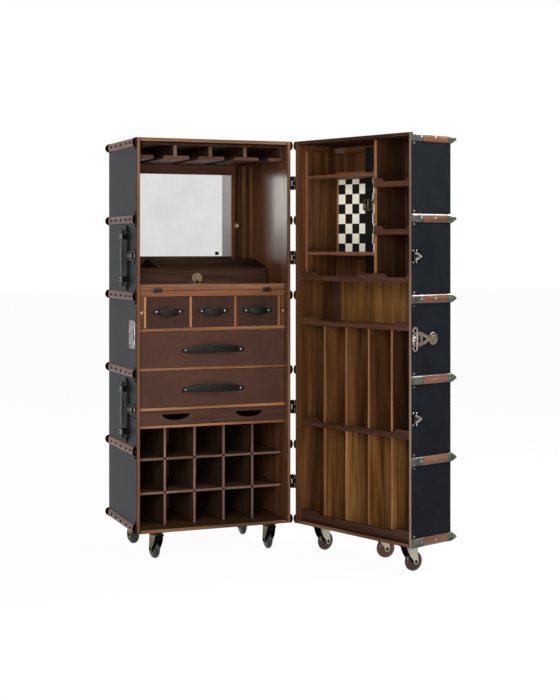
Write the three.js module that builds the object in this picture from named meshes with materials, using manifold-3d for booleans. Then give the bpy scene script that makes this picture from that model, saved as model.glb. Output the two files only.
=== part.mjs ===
// A travelling-trunk bar cabinet, standing open on casters. All sizes are in millimetres and +Z is up.
// The deep half (the main case) and the shallow half (the lid) are joined by butt hinges on one side.
// Main case frame: X runs along its width, Y runs into its depth from the open front, Z = 0 is its underside.
// Lid frame: the same, seen from the lid's own open front, with X = 0 at the hinges.
// The finished model stands with the middle of its bounding box's base at the origin.
import * as THREE from 'three';
import { mergeVertices } from 'three/addons/utils/BufferGeometryUtils.js';
import Module from 'manifold-3d';

const wasm = await Module();
wasm.setup();

// Case
const caseWidth = 627;
const caseHeight = 1500;
const mainDepth = 407;
const lidDepth = 210;
const panelThickness = 14;
const seamGap = 2;
const lidOpenAngle = 109.5; // degrees from shut

// Fits
const seat = 0.3; // gap between boards that rest on each other
const play = 1; // gap round a drawer, tray or leaf
const weld = 1; // how far one body of a glued or welded piece runs into the next
const overrun = 5; // how far a cutting body runs past what it cuts

// Wooden bands round the outside
const bandCount = 6;
const bandHeight = 33;
const bandProud = 9;
const bandSteps = 4;

// Case hinges
const hingeHeightShares = [0.1, 0.3, 0.7, 0.9]; // of the way from the lowest band to the highest
const hingeOffset = 11; // from the case side to the axis
const hingeLength = 53;
const knuckleRadius = 5;
const knuckleGap = 0.5;
const hingePinRadius = 2;
const hingeBoreRadius = 2.7;
const hingeLeafWidth = 46;
const hingeLeafThickness = 2.5;
const hingeArmThickness = 4.4;
const hingeSides = 8;

// Inside the main case, from the floor up
const boardRecess = 25; // front edges of shelves and drawer fronts, behind the case's front
const rackRecess = 74;
const rackBoard = 10;
const rackPitch = 120;
const bottleCell = 120;
const rackRows = 3;
const rackUprights = 4;
const trayOpening = 57;
const trayShelf = 11;
const largeDrawerOpening = 140;
const drawerShelf = 11;
const smallShelf = 13;
const smallDrawerOpening = 119;
const smallDrawerCount = 3;
const drawerDivider = 10;
const counterThickness = 23;
const loperThickness = 19;

// Drawers and trays
const frontThickness = 14;
const drawerWall = 8;
const drawerBottom = 6;
const drawerWallDrop = 16; // top of the drawer's sides below the top of its front
const drawerBackGap = 8;
const trayWall = 7;
const fingerSlotWidth = 111;
const fingerSlotHeight = 24;
const fingerSlotDrop = 14;
const arcSteps = 8;

// Bow handles of the drawers
const smallHandleLength = 126;
const smallHandleStuds = 90;
const largeHandleLength = 257;
const largeHandleStuds = 221;
const handleRise = 8;
const handleWidth = 32;
const handleBulge = 15;
const handleThickness = 4;
const handleFoot = 12;
const handleEndShare = 0.65; // width at the ends, as a share of the width at the middle
const handleDropShare = 0.5; // how much of the rise lies below the handle's middle
const studRadius = 6;
const studLength = 4;
const studSides = 10;

// Fold-out leaf and its pull-out supports
const leafThickness = 23;
const leafDepth = 160;
const leafHingeInset = 70;
const leafHingeLength = 30;
const leafKnuckleRadius = 2.2;
const leafPlateHeight = 7;
const knobRadius = 7;
const knobLength = 12;
const knobHeight = 59; // centre above the shelf the supports slide on

// Box on the counter
const boxSideGap = 15;
const boxFrontHeight = 84;
const boxWall = 9;
const boxWellWidth = 119;
const boxRidgeDepth = 57; // flat top behind the slope
const boxSlopeRise = 34;
const boxLidThickness = 8;
const boxBackGap = 3;
const boxDiscRadius = 21;
const boxDiscThickness = 4;
const boxDiscHeight = 49;
const discSides = 20;

// Mirror
const mirrorWidth = 409;
const mirrorSill = 129; // above the counter
const mirrorHeadroom = 102;
const mirrorThickness = 5;
const frameThickness = 8;

// Stemware rack
const railCount = 3;
const railPitch = 143.5;
const flangeWidth = 105;
const flangeThickness = 14;
const railWebThickness = 15;
const railHeight = 63;
const railRecess = 43;
const railPlate = 8;
const halfFlange = 65;

// Carry handles on the main case's outer side
const carryHeightShares = [0.7, 0.3];
const carryDepth = 134;
const carryEndGap = 11.2; // from each end to the next band
const carryWidth = 38;
const carryRise = 23;
const carryThickness = 6;
const carryBaseThickness = 3;
const carryFoot = 14; // from each end to where the grip leaves its base
const carryKeeperInset = 25; // from each end to the nearer edge of its keeper
const carryKeeperLength = 24;
const carryKeeperWidth = 42;
const archPower = 2 / 3; // an ellipse's is 1, and a smaller one squares the arch off

// Locks
const lockHeightShare = 0.5;
const lockLift = 2; // above the middle of the bay between two bands
const latchHeightShares = [0.7, 0.3];
const latchLift = 8;
const plateThickness = 3;
const strikeDepthFrom = 26;
const strikeDepthTo = 105;
const strikeHeight = 109;
const catchLength = 94;
const catchFrom = 18;
const catchHeight = 31;
const catchRingRadius = 10;
const catchRingInset = 46;
const catchRingProud = 6;
const hingePlateHeight = 82;
const hingePlateDepth = 38;
const plateInset = 2;
const haspPivotInset = 21.5;
const haspReach = 85;
const haspWidth = 56;
const haspNeck = 24;
const haspThickness = 3;
const haspDiscRadius = 23.5;
const haspDiscProud = 1.2;
const lockPivotProud = 6.6; // hinge axis of a lock or latch, out from the case side
const lockPinRadius = 1.3;
const lockBoreRadius = 1.9;
const lockBarrelRadius = 3.2;
const lockEar = 6;
const latchPlateHeight = 57;
const latchPlateDepth = 46;
const latchPivotInset = 9;
const latchReach = 38;
const latchWidth = 32;
const latchTip = 16;
const smallSides = 8;

// Inside the lid, from the floor up
const slotPitch = 121;
const slotBoard = 10;
const slotDividers = 4;
const slotRecess = 34;
const lidShelf = 12;
const lowerSlot = 371;
const openShelf = 162;
const columnBayLower = 165;
const columnBayMiddle = 164;
const lipRecess = 22;
const lipThickness = 10;
const lipHeight = 20;
const bottomLipHeight = 29;
const lipRise = 13;
const lipEnd = 89;
const lipSlope = 9;
const columnLipStart = 44;
const columnLipEnd = 26;
const middleLipReach = 69;

// Board compartment in the lid
const fitmentRecess = 40;
const sideBoard = 13;
const sideBoardHeadroom = 22;
const compartmentWidth = 370;
const upperDivider = 14;
const retainerThickness = 13;
const retainerRise = 88; // lower retaining shelf, above the upper shelf's top
const retainerPitch = 298;
const battenHeight = 26;
const battenHeadroom = 4;
const boardSquare = 39;
const boardSquares = 8;
const boardEdge = 11;
const boardThickness = 14;
const boardDrop = 5; // the board's lower edge, below the lower retaining shelf
const boardHeadroom = 73; // from the board to the batten at the top
const boardRestHeight = 12;
const strapWidth = 38;
const strapThickness = 4;
const strapRise = 19; // its lower end, above the upper shelf's top
const strapHeadroom = 12;
const strapShift = 16; // right of the compartment's middle
const buckleWidth = 53;
const buckleHeight = 45;
const buckleBar = 7;
const buckleRise = 33; // above the board's middle
const buckleThickness = 4;

// Casters
const casterHeight = 105;
const casterTrail = 18;
const wheelRadius = 37;
const wheelWidth = 27;
const wheelHubRadius = 10;
const wheelHubWidth = 30;
const wheelTread = 9; // the flat that it rolls on
const wheelRoundness = 2.6; // an ellipse's is 2, and a larger one fills the corners out
const wheelFaceShares = [0.33, 0.62, 0.82, 0.93, 1]; // where its face is drawn, as shares of its radius
const wheelSides = 16;
const axleRadius = 4;
const axleBore = 4.6;
const axleHead = 2;
const axleHeadRadius = 6.5;
const forkThickness = 2.5;
const forkGap = 1.2; // beside the wheel's hub
const forkCrownRadius = 22;
const forkBossRadius = 10;
const casterPlateLength = 62;
const casterPlateWidth = 48;
const casterPlateThickness = 2.5;
const kingRadius = 13;
const kingHeight = 3.5;

// Brake pedals: a lever on a pin between the fork's legs, with a shoe that comes down on the wheel
const pedalPivotForward = 11;
const pedalPivotDrop = 8;
const pedalReach = 28;
const pedalThickness = 4;
const pedalWidth = 24;
const pedalBarrelRadius = 4;
const pedalBoreRadius = 2.6;
const pedalPinRadius = 1.9;
const shoeThickness = 7;
const brakeGap = 1;
const brakeTravel = 25; // degrees

// Caster places, and the headings in degrees in which their wheels trail
const mainCasterLeftInset = 88;
const mainCasterRightInset = 77;
const mainCasterFront = 33;
const mainCasterBackInset = 83;
const lidCasterInset = 78;
const lidCasterFront = 70;
const lidCasterBackInset = 59;
const lidCasterShift = 11;

// Heights and places that follow from the sizes above
const interiorLeft = panelThickness;
const interiorRight = caseWidth - panelThickness;
const interiorWidth = interiorRight - interiorLeft;
const middle = caseWidth / 2;
const boardLeft = interiorLeft + seat;
const boardRight = interiorRight - seat;
const ceiling = caseHeight - panelThickness;
const mainBack = mainDepth - panelThickness;
const lidBack = lidDepth - panelThickness;
const floor = panelThickness;
const rackTop = floor + rackRows * bottleCell + (rackRows - 1) * rackBoard;
const trayFloor = rackTop + rackBoard;
const trayTop = trayFloor + trayOpening;
const lowerDrawerFloor = trayTop + trayShelf;
const lowerDrawerTop = lowerDrawerFloor + largeDrawerOpening;
const upperDrawerFloor = lowerDrawerTop + drawerShelf;
const upperDrawerTop = upperDrawerFloor + largeDrawerOpening;
const smallDrawerFloor = upperDrawerTop + smallShelf;
const smallDrawerTop = smallDrawerFloor + smallDrawerOpening;
const counterTop = smallDrawerTop + counterThickness;
const bandPitch = (caseHeight - bandHeight) / (bandCount - 1);
const bayHeight = bandPitch - bandHeight;
const hingeHeights = hingeHeightShares.map(heightAt);
const carryHeights = carryHeightShares.map(heightAt);
const carryLength = bayHeight - 2 * carryEndGap;
const lockHeight = heightAt(lockHeightShare) + lockLift;
const latchHeights = latchHeightShares.map((share) => heightAt(share) + latchLift);
const hingeAxisX = caseWidth + hingeOffset;
const hingeAxisY = -seamGap / 2;

// A height on the case, as a share of the way from the lowest band's middle to the highest's
function heightAt(share) {
  return bandHeight / 2 + share * (caseHeight - bandHeight);
}

// Materials
function finish(color, roughness, metalness = 0) {
  return new THREE.MeshStandardMaterial({ color, roughness, metalness });
}
const shellLeather = finish(0x2b2f36, 0.55);
const wood = finish(0x6b4026, 0.5);
const darkWood = finish(0x3a2418, 0.5);
const drawerLeather = finish(0x34211f, 0.5);
const blackLeather = finish(0x17161a, 0.5);
const brass = finish(0xb39a5c, 0.35, 0.9);
const steel = finish(0xc9c6ba, 0.35, 0.9);
const glass = finish(0xe6ebec, 0.05, 1);
const boardFinish = finish(0xd9d4c0, 0.5);
const wheelRubber = finish(0x4a2f26, 0.5);
const blackPaint = finish(0x1a1a1a, 0.5);

// Solids
function toSolid(geometry) {
  const bare = geometry.clone();
  bare.deleteAttribute('normal');
  bare.deleteAttribute('uv');
  const merged = mergeVertices(bare);
  return new wasm.Manifold(new wasm.Mesh({
    numProp: 3,
    vertProperties: new Float32Array(merged.attributes.position.array),
    triVerts: new Uint32Array(merged.index.array),
  }));
}

function toGeometry(solid) {
  const mesh = solid.getMesh();
  const geometry = new THREE.BufferGeometry();
  geometry.setAttribute('position', new THREE.BufferAttribute(new Float32Array(mesh.vertProperties), 3));
  geometry.setIndex(new THREE.BufferAttribute(new Uint32Array(mesh.triVerts), 1));
  geometry.computeVertexNormals();
  return geometry;
}

function join(geometries) {
  return toGeometry(geometries.map(toSolid).reduce((sum, next) => sum.add(next)));
}

function cut(geometry, cutters) {
  return toGeometry(cutters.map(toSolid).reduce((rest, next) => rest.subtract(next), toSolid(geometry)));
}

function meet(first, second) {
  return toGeometry(toSolid(first).intersect(toSolid(second)));
}

function slab(x0, x1, y0, y1, z0, z1) {
  const box = new THREE.BoxGeometry(x1 - x0, y1 - y0, z1 - z0);
  return box.translate((x0 + x1) / 2, (y0 + y1) / 2, (z0 + z1) / 2);
}

// The two ends of a span, from its middle and its size
function around(centre, size) {
  return [centre - size / 2, centre + size / 2];
}

// The two ends of a span that starts at a place and runs one way or the other
function toward(start, direction, from, to) {
  return [start + direction * from, start + direction * to].sort((a, b) => a - b);
}

// The axes on which an outline's first and second coordinates lie, and the way that it is extruded
const planes = {
  xy: [[1, 0, 0], [0, 1, 0], [0, 0, 1]],
  yz: [[0, 1, 0], [0, 0, 1], [1, 0, 0]],
  xz: [[1, 0, 0], [0, 0, 1], [0, -1, 0]],
};

// An outline in a plane, extruded between two places on the third axis
function prism(outline, plane, from, to) {
  const shape = new THREE.Shape(outline.map(([a, b]) => new THREE.Vector2(a, b)));
  const geometry = new THREE.ExtrudeGeometry(shape, { depth: to - from, bevelEnabled: false, steps: 1 });
  const [first, second, third] = planes[plane].map((axis) => new THREE.Vector3(...axis));
  geometry.applyMatrix4(new THREE.Matrix4().makeBasis(first, second, third));
  const start = plane === 'xz' ? to : from;
  return geometry.translate(...third.multiplyScalar(plane === 'xz' ? -start : start).toArray());
}

// A cylinder along one axis, centred on the other two
function rod(axis, radius, from, to, a, b, sides) {
  const geometry = new THREE.CylinderGeometry(radius, radius, to - from, sides);
  const centre = (from + to) / 2;
  if (axis === 'x') return geometry.rotateZ(-Math.PI / 2).translate(centre, a, b);
  if (axis === 'z') return geometry.rotateX(Math.PI / 2).translate(a, b, centre);
  return geometry.translate(a, centre, b);
}

const quarterTurn = Math.PI / 2;
const halfTurn = Math.PI;

function arc(centreA, centreB, radiusA, radiusB, fromAngle, toAngle, steps) {
  return Array.from({ length: steps + 1 }, (unused, i) => {
    const angle = fromAngle + ((toAngle - fromAngle) * i) / steps;
    return [centreA + radiusA * Math.cos(angle), centreB + radiusB * Math.sin(angle)];
  });
}

const cabinet = new THREE.Group();
const mainCase = new THREE.Group();
const lid = new THREE.Group();
mainCase.position.z = casterHeight;
lid.position.set(hingeAxisX, hingeAxisY, casterHeight);
lid.rotation.z = THREE.MathUtils.degToRad(180 + lidOpenAngle);
cabinet.add(mainCase, lid);

// In the lid's group the hinge axis is the origin, so its pieces move out by the hinge's offsets
const lidBody = new THREE.Group();
lidBody.position.set(hingeOffset, seamGap / 2, 0);
lid.add(lidBody);

function piece(parent, name, geometry, material) {
  const mesh = new THREE.Mesh(geometry, material);
  mesh.name = name;
  parent.add(mesh);
  return mesh;
}

// Bands: half-round wooden slats on an outer face, evenly spaced from the bottom edge to the top edge
function bandCentres() {
  return Array.from({ length: bandCount }, (unused, i) => bandHeight / 2 + i * bandPitch);
}

function bands(plane, face, outward, from, to) {
  return bandCentres().map((centre) => {
    const [low, high] = around(centre, bandHeight);
    const crown = arc(face, centre, outward * bandProud, bandHeight / 2, -quarterTurn, quarterTurn,
      bandSteps);
    const root = face - outward * weld;
    const outline = [[root, low], ...crown, [root, high]];
    return prism(outward > 0 ? outline : outline.reverse(), plane, from, to);
  });
}

// The bands of a side panel: those on its own face, and where they turn the corner onto the back
function sideBands(face, outward, depth) {
  return [
    ...bands('xz', face, outward, 0, depth),
    ...bands('yz', depth, 1, ...toward(face, outward, -panelThickness, bandProud)),
  ];
}

// One half of each case hinge: leaf on the case side, arm out to the axis, and its own knuckles.
// The main case carries the outer knuckles and the pin, and the lid carries the middle knuckle.
function hingeHalf(face, outward, axisX, axisY, centre, outerKnuckles) {
  const [low, high] = around(centre, hingeLength);
  const third = hingeLength / 3;
  const armNear = axisY + seamGap / 2 + seat;
  const reach = outward * (axisX - face) - weld;
  const leaf = slab(...toward(face, outward, -weld, hingeLeafThickness), armNear, armNear + hingeLeafWidth,
    low, high);
  const arm = slab(...toward(face, outward, -weld, reach), armNear, armNear + hingeArmThickness, low, high);
  const spans = [[low, low + third], [low + third, high - third], [high - third, high]];
  const knuckles = [];
  const clearances = [];
  spans.forEach(([from, to], i) => {
    const trim = knuckleGap / 2;
    if ((i === 1) !== outerKnuckles) {
      knuckles.push(rod('z', knuckleRadius, from + trim, to - trim, axisX, axisY, hingeSides));
    } else {
      clearances.push(rod('z', knuckleRadius + knuckleGap, from - trim, to + trim, axisX, axisY,
        hingeSides));
    }
  });
  const half = join([cut(join([leaf, arm]), clearances), ...knuckles]);
  if (outerKnuckles) return join([half, rod('z', hingePinRadius, low, high, axisX, axisY, hingeSides)]);
  return cut(half, [rod('z', hingeBoreRadius, low - overrun, high + overrun, axisX, axisY, hingeSides)]);
}

// The bands on a back, fused to it. The lowest and the highest pass just behind the bottom and top panels.
function backBands(depth) {
  const panelEdges = [[-overrun, floor + seat], [ceiling - seat, caseHeight + overrun]].map((span) =>
    slab(interiorLeft, interiorRight, depth - overrun, depth + seat, ...span));
  return bands('yz', depth, 1, boardLeft, boardRight).map((band) => cut(band, panelEdges));
}

// Main case shell
const strike = slab(-plateThickness, weld, strikeDepthFrom, strikeDepthTo,
  ...around(lockHeight, strikeHeight));

function latchCatch(height) {
  const catchTo = catchFrom + catchLength;
  return [
    slab(-plateThickness, weld, catchFrom, catchTo, ...around(height, catchHeight)),
    rod('x', catchRingRadius, -plateThickness - catchRingProud, weld, catchTo - catchRingInset, height,
      studSides),
  ];
}

piece(mainCase, 'main_left_panel', join([
  slab(0, panelThickness, 0, mainDepth, 0, caseHeight),
  ...sideBands(0, -1, mainDepth),
  strike,
  ...latchHeights.flatMap(latchCatch),
]), shellLeather);

piece(mainCase, 'main_right_panel', join([
  slab(interiorRight, caseWidth, 0, mainDepth, 0, caseHeight),
  ...sideBands(caseWidth, 1, mainDepth),
  ...hingeHeights.map((height) => hingeHalf(caseWidth, 1, hingeAxisX, hingeAxisY, height, true)),
]), shellLeather);

const mirrorLeft = middle - mirrorWidth / 2;
const mirrorRight = middle + mirrorWidth / 2;
const mirrorBottom = counterTop + mirrorSill;
const mirrorTop = ceiling - mirrorHeadroom;
const frameFront = mainBack - frameThickness;
const mirrorFrame = cut(
  slab(boardLeft, boardRight, frameFront, mainBack + weld, counterTop + seat, ceiling - seat),
  [slab(mirrorLeft, mirrorRight, frameFront - overrun, mainBack, mirrorBottom, mirrorTop)],
);
piece(mainCase, 'main_back_panel', join([
  slab(boardLeft, boardRight, mainBack, mainDepth, floor + seat, ceiling - seat),
  ...backBands(mainDepth),
  mirrorFrame,
]), wood);

piece(mainCase, 'main_top_panel', slab(boardLeft, boardRight, 0, mainDepth, ceiling, caseHeight),
  shellLeather);

// Caster mounting plate with its king boss, under a case at the swivel axis
function casterPlate(x, y) {
  return [
    slab(...around(x, casterPlateLength), ...around(y, casterPlateWidth), -casterPlateThickness, weld),
    rod('z', kingRadius, -casterPlateThickness - kingHeight, 0, x, y, hingeSides),
  ];
}

const mainCasterRight = caseWidth - mainCasterRightInset;
const mainCasterBack = mainDepth - mainCasterBackInset;
const mainCasters = [
  { name: 'front_left', x: mainCasterLeftInset, y: mainCasterFront, heading: 100, brake: true },
  { name: 'front_right', x: mainCasterRight, y: mainCasterFront, heading: 90, brake: true },
  { name: 'back_left', x: mainCasterLeftInset, y: mainCasterBack, heading: 110, brake: false },
  { name: 'back_right', x: mainCasterRight, y: mainCasterBack, heading: 90, brake: false },
];
const lidCasters = [
  { name: 'left', x: lidCasterInset, y: lidCasterFront, heading: 88, brake: true },
  { name: 'middle', x: middle + lidCasterShift, y: lidDepth - lidCasterBackInset, heading: 67, brake: false },
  { name: 'right', x: caseWidth - lidCasterInset, y: lidCasterFront, heading: 78, brake: true },
];

piece(mainCase, 'main_bottom_panel', join([
  slab(boardLeft, boardRight, 0, mainDepth, 0, floor),
  ...mainCasters.flatMap(({ x, y }) => casterPlate(x, y)),
]), shellLeather);

// Mirror, set in the window of the frame on the back
piece(mainCase, 'mirror', slab(mirrorLeft + seat, mirrorRight - seat, mainBack - seat - mirrorThickness,
  mainBack - seat, mirrorBottom + seat, mirrorTop - seat), glass);

// Shelves of the main case
function mainShelf(top, thickness) {
  return slab(boardLeft, boardRight, boardRecess, mainBack - seat, top - thickness, top);
}

const leafAxisY = boardRecess - leafKnuckleRadius - seat;
const leafAxisZ = counterTop + play / 2;
const leafHingeCentres = [leafHingeInset, caseWidth - leafHingeInset];

// A leaf hinge's plate on a front edge, and its knuckles along the fold line
function leafPlate(centre, from, to) {
  return slab(...around(centre, leafHingeLength), boardRecess - leafKnuckleRadius, boardRecess + weld, from,
    to);
}
function leafKnuckle(centre, [from, to], radius, trim) {
  const knuckle = leafHingeLength / 3;
  return rod('x', radius, centre + knuckle * from + trim, centre + knuckle * to - trim, leafAxisY, leafAxisZ,
    studSides);
}
// Knuckle spans in thirds of the hinge, from its middle
const outerKnuckleShares = [[-1.5, -0.5], [0.5, 1.5]];
const middleKnuckleShares = [[-0.5, 0.5]];

function leafHingeHalf(centre, plateFrom, plateTo, ownShares, otherShares) {
  const clearances = otherShares.map((share) => leafKnuckle(centre, share, leafKnuckleRadius + seat, -seat));
  const knuckles = ownShares.map((share) => leafKnuckle(centre, share, leafKnuckleRadius, seat));
  return [cut(leafPlate(centre, plateFrom, plateTo), clearances), ...knuckles];
}

piece(mainCase, 'counter_shelf', join([
  mainShelf(counterTop, counterThickness),
  ...leafHingeCentres.flatMap((centre) => leafHingeHalf(centre, leafAxisZ - leafPlateHeight, counterTop,
    outerKnuckleShares, middleKnuckleShares)),
]), wood);

const loperStrip = loperThickness + 2 * play;
const dividerCount = smallDrawerCount + 1;
const smallOpening = (interiorWidth - 2 * loperStrip - dividerCount * drawerDivider) / smallDrawerCount;
const dividerLefts = Array.from({ length: dividerCount }, (unused, i) =>
  interiorLeft + loperStrip + i * (smallOpening + drawerDivider));
piece(mainCase, 'drawer_rack', join([
  mainShelf(smallDrawerFloor, smallShelf),
  ...dividerLefts.map((left) => slab(left, left + drawerDivider, boardRecess, mainBack - seat,
    smallDrawerFloor - weld, smallDrawerTop - seat)),
]), wood);

piece(mainCase, 'drawer_shelf_upper', mainShelf(upperDrawerFloor, drawerShelf), wood);
piece(mainCase, 'drawer_shelf_lower', join([
  mainShelf(lowerDrawerFloor, trayShelf),
  slab(...around(middle, drawerDivider), boardRecess + frontThickness + play, mainBack - seat,
    trayFloor + seat, trayTop + weld),
]), wood);

// Bottle rack: a comb of uprights under the tray floor, cross-lapped with two shelves
const uprightCentres = Array.from({ length: rackUprights }, (unused, i) =>
  middle + (i - (rackUprights - 1) / 2) * rackPitch);
const rackShelfBottoms = Array.from({ length: rackRows - 1 }, (unused, i) =>
  floor + (i + 1) * bottleCell + i * rackBoard);
const lapDepth = (mainBack - seat + rackRecess) / 2;
piece(mainCase, 'rack_frame', cut(join([
  mainShelf(trayFloor, rackBoard),
  ...uprightCentres.map((centre) => slab(...around(centre, rackBoard), rackRecess, mainBack - seat,
    floor + seat, rackTop + weld)),
]), rackShelfBottoms.map((bottom) => slab(interiorLeft, interiorRight, rackRecess - overrun, lapDepth + seat,
  bottom - seat, bottom + rackBoard + seat))), wood);
rackShelfBottoms.forEach((bottom, i) => {
  piece(mainCase, ['rack_shelf_lower', 'rack_shelf_upper'][i], cut(
    slab(boardLeft, boardRight, rackRecess, mainBack - seat, bottom, bottom + rackBoard),
    uprightCentres.map((centre) => slab(...around(centre, rackBoard + 2 * seat), lapDepth, mainBack + overrun,
      bottom - overrun, bottom + rackBoard + overrun)),
  ), wood);
});

// Stemware rack: T-rails and wall rails under a plate at the ceiling
const flangeBottom = ceiling - railHeight;
const railBack = frameFront - seat;
const railCentres = Array.from({ length: railCount }, (unused, i) =>
  middle + (i - (railCount - 1) / 2) * railPitch);
function rail(flangeSpan, webSpan) {
  return [
    slab(...flangeSpan, railRecess, railBack, flangeBottom, flangeBottom + flangeThickness),
    slab(...webSpan, railRecess, railBack, flangeBottom, ceiling - railPlate),
  ];
}
function wallRail(wall, inward) {
  return rail(toward(wall, inward, seat, halfFlange), toward(wall, inward, seat, railWebThickness));
}
piece(mainCase, 'stemware_rack', join([
  slab(boardLeft, boardRight, railRecess, railBack, ceiling - railPlate - weld, ceiling - seat),
  ...railCentres.flatMap((centre) => rail(around(centre, flangeWidth), around(centre, railWebThickness))),
  ...wallRail(interiorLeft, 1),
  ...wallRail(interiorRight, -1),
]), darkWood);

// Box on the counter: open well on the left, sloping lid over the rest
const boxLeft = interiorLeft + boxSideGap;
const boxRight = interiorRight - boxSideGap;
const boxFront = boardRecess + leafDepth + 2 * play;
const boxBack = frameFront - boxBackGap;
const boxBottom = counterTop + seat;
const boxTop = boxBottom + boxFrontHeight;
const slopeBack = boxBack - boxRidgeDepth;
const boxRidge = boxTop + boxSlopeRise;
const slopeFall = boxLidThickness + seat;
const boxProfile = [
  [boxFront, boxBottom], [boxBack, boxBottom], [boxBack, boxRidge],
  [slopeBack + seat, boxRidge], [slopeBack + seat, boxRidge - slopeFall], [boxFront, boxTop - slopeFall],
];
const wellRight = boxLeft + boxWellWidth;
const boxRoom = [
  [boxFront + boxWall, boxBottom + boxWall], [boxBack - boxWall, boxBottom + boxWall],
  [boxBack - boxWall, boxRidge - boxWall], [slopeBack - boxWall, boxRidge - boxWall],
  [slopeBack - boxWall, boxRidge + overrun], [boxFront + boxWall, boxRidge + overrun],
];
const boxBody = cut(join([
  prism(boxProfile, 'yz', wellRight - boxWall, boxRight),
  slab(boxLeft, wellRight - boxWall + weld, boxFront, boxBack, boxBottom, boxTop),
  slab(boxLeft, boxRight, boxFront, boxFront + boxWall, boxBottom, boxTop - slopeFall),
]), [
  prism(boxRoom, 'yz', wellRight, boxRight - boxWall),
  slab(boxLeft + boxWall, wellRight - boxWall, boxFront + boxWall, boxBack - boxWall, boxBottom + boxWall,
    boxRidge + overrun),
]);
piece(mainCase, 'serving_box', join([
  boxBody,
  rod('y', boxDiscRadius, boxFront - boxDiscThickness, boxFront + weld, middle, boxBottom + boxDiscHeight,
    discSides),
]), darkWood);

const boxLidOutline = [[boxFront, boxTop - boxLidThickness], [slopeBack - seat, boxRidge - boxLidThickness],
  [slopeBack - seat, boxRidge], [boxFront, boxTop]];
piece(mainCase, 'box_lid', prism(boxLidOutline, 'yz', wellRight - boxWall + weld + seat, boxRight), darkWood);

// Fold-out leaf
piece(mainCase, 'bar_leaf', join([
  slab(interiorLeft + play, interiorRight - play, boardRecess, boardRecess + leafDepth, counterTop + play,
    counterTop + play + leafThickness),
  ...leafHingeCentres.flatMap((centre) => leafHingeHalf(centre, counterTop + play,
    leafAxisZ + leafPlateHeight, middleKnuckleShares, outerKnuckleShares)),
]), wood);

// Pull-out supports for the leaf
function loper(left) {
  const centre = left + loperThickness / 2;
  const knobZ = smallDrawerFloor + knobHeight;
  const knobBack = boardRecess - knobLength / 2;
  return join([
    slab(left, left + loperThickness, boardRecess, mainBack - drawerBackGap, smallDrawerFloor + seat,
      smallDrawerTop - play / 2),
    rod('y', knobRadius, boardRecess - knobLength, knobBack, centre, knobZ, studSides),
    rod('y', knobRadius / 2, knobBack - weld, boardRecess + weld, centre, knobZ, studSides),
  ]);
}
piece(mainCase, 'left_loper', loper(interiorLeft + play), wood);
piece(mainCase, 'right_loper', loper(interiorRight - play - loperThickness), wood);

// A bow handle in front of a drawer: it arches up and swells at its middle seen from the front, and bulges
// out seen from above. It is where the two outlines meet, on two studs.
function bowHandle(centreX, centreZ, length, studs, frontY) {
  const half = length / 2;
  const edge = (side) => Array.from({ length: arcSteps + 1 }, (unused, i) => {
    const along = -1 + (2 * i) / arcSteps;
    const swell = 1 - along * along;
    const axisZ = centreZ + handleRise * (swell - handleDropShare);
    const width = handleWidth * (handleEndShare + (1 - handleEndShare) * swell);
    return [centreX + side * along * half, axisZ - (side * width) / 2];
  });
  const seenFromFront = prism([...edge(1), ...edge(-1)], 'xz', frontY - handleBulge - overrun, frontY + weld);
  const outer = arc(centreX, frontY, half, handleBulge, halfTurn, 2 * halfTurn, arcSteps);
  const inner = arc(centreX, frontY, half - handleFoot, handleBulge - handleThickness, 2 * halfTurn, halfTurn,
    arcSteps);
  const rootY = frontY + weld;
  const bow = [
    ...outer, [centreX + half, rootY], [centreX + half - handleFoot, rootY],
    ...inner.slice(1, -1), [centreX - half + handleFoot, rootY], [centreX - half, rootY],
  ];
  const seenFromAbove = prism(bow, 'xy', ...around(centreZ, 2 * (handleWidth + handleRise)));
  const studFront = frontY - handleBulge / 2 - studLength;
  const pegs = [-1, 1].map((side) =>
    rod('y', studRadius, studFront, rootY, centreX + (side * studs) / 2, centreZ, studSides));
  return [meet(seenFromFront, seenFromAbove), ...pegs];
}

function drawer(left, right, bottom, top, handle) {
  const back = mainBack - drawerBackGap;
  const boxEnds = [left + 2 * play, right - 2 * play];
  const roomEnds = [boxEnds[0] + drawerWall, boxEnds[1] - drawerWall];
  const frontBack = boardRecess + frontThickness;
  const low = bottom + seat;
  const high = top - play;
  const wallTop = high - drawerWallDrop;
  return join([
    slab(left + play, right - play, boardRecess, frontBack, low, high),
    cut(slab(...boxEnds, boardRecess + weld, back, low, wallTop), [
      slab(...roomEnds, frontBack, back - drawerWall, low + drawerBottom, wallTop + overrun),
    ]),
    ...bowHandle((left + right) / 2, (bottom + top) / 2, handle.length, handle.studs, boardRecess),
  ]);
}

const smallHandle = { length: smallHandleLength, studs: smallHandleStuds };
const largeHandle = { length: largeHandleLength, studs: largeHandleStuds };
['small_drawer_left', 'small_drawer_middle', 'small_drawer_right'].forEach((name, i) => {
  const left = dividerLefts[i] + drawerDivider;
  const shape = drawer(left, left + smallOpening, smallDrawerFloor, smallDrawerTop, smallHandle);
  piece(mainCase, name, shape, drawerLeather);
});
function largeDrawer(bottom, top) {
  return drawer(interiorLeft, interiorRight, bottom, top, largeHandle);
}
piece(mainCase, 'large_drawer_upper', largeDrawer(upperDrawerFloor, upperDrawerTop), drawerLeather);
piece(mainCase, 'large_drawer_lower', largeDrawer(lowerDrawerFloor, lowerDrawerTop), drawerLeather);

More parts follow.
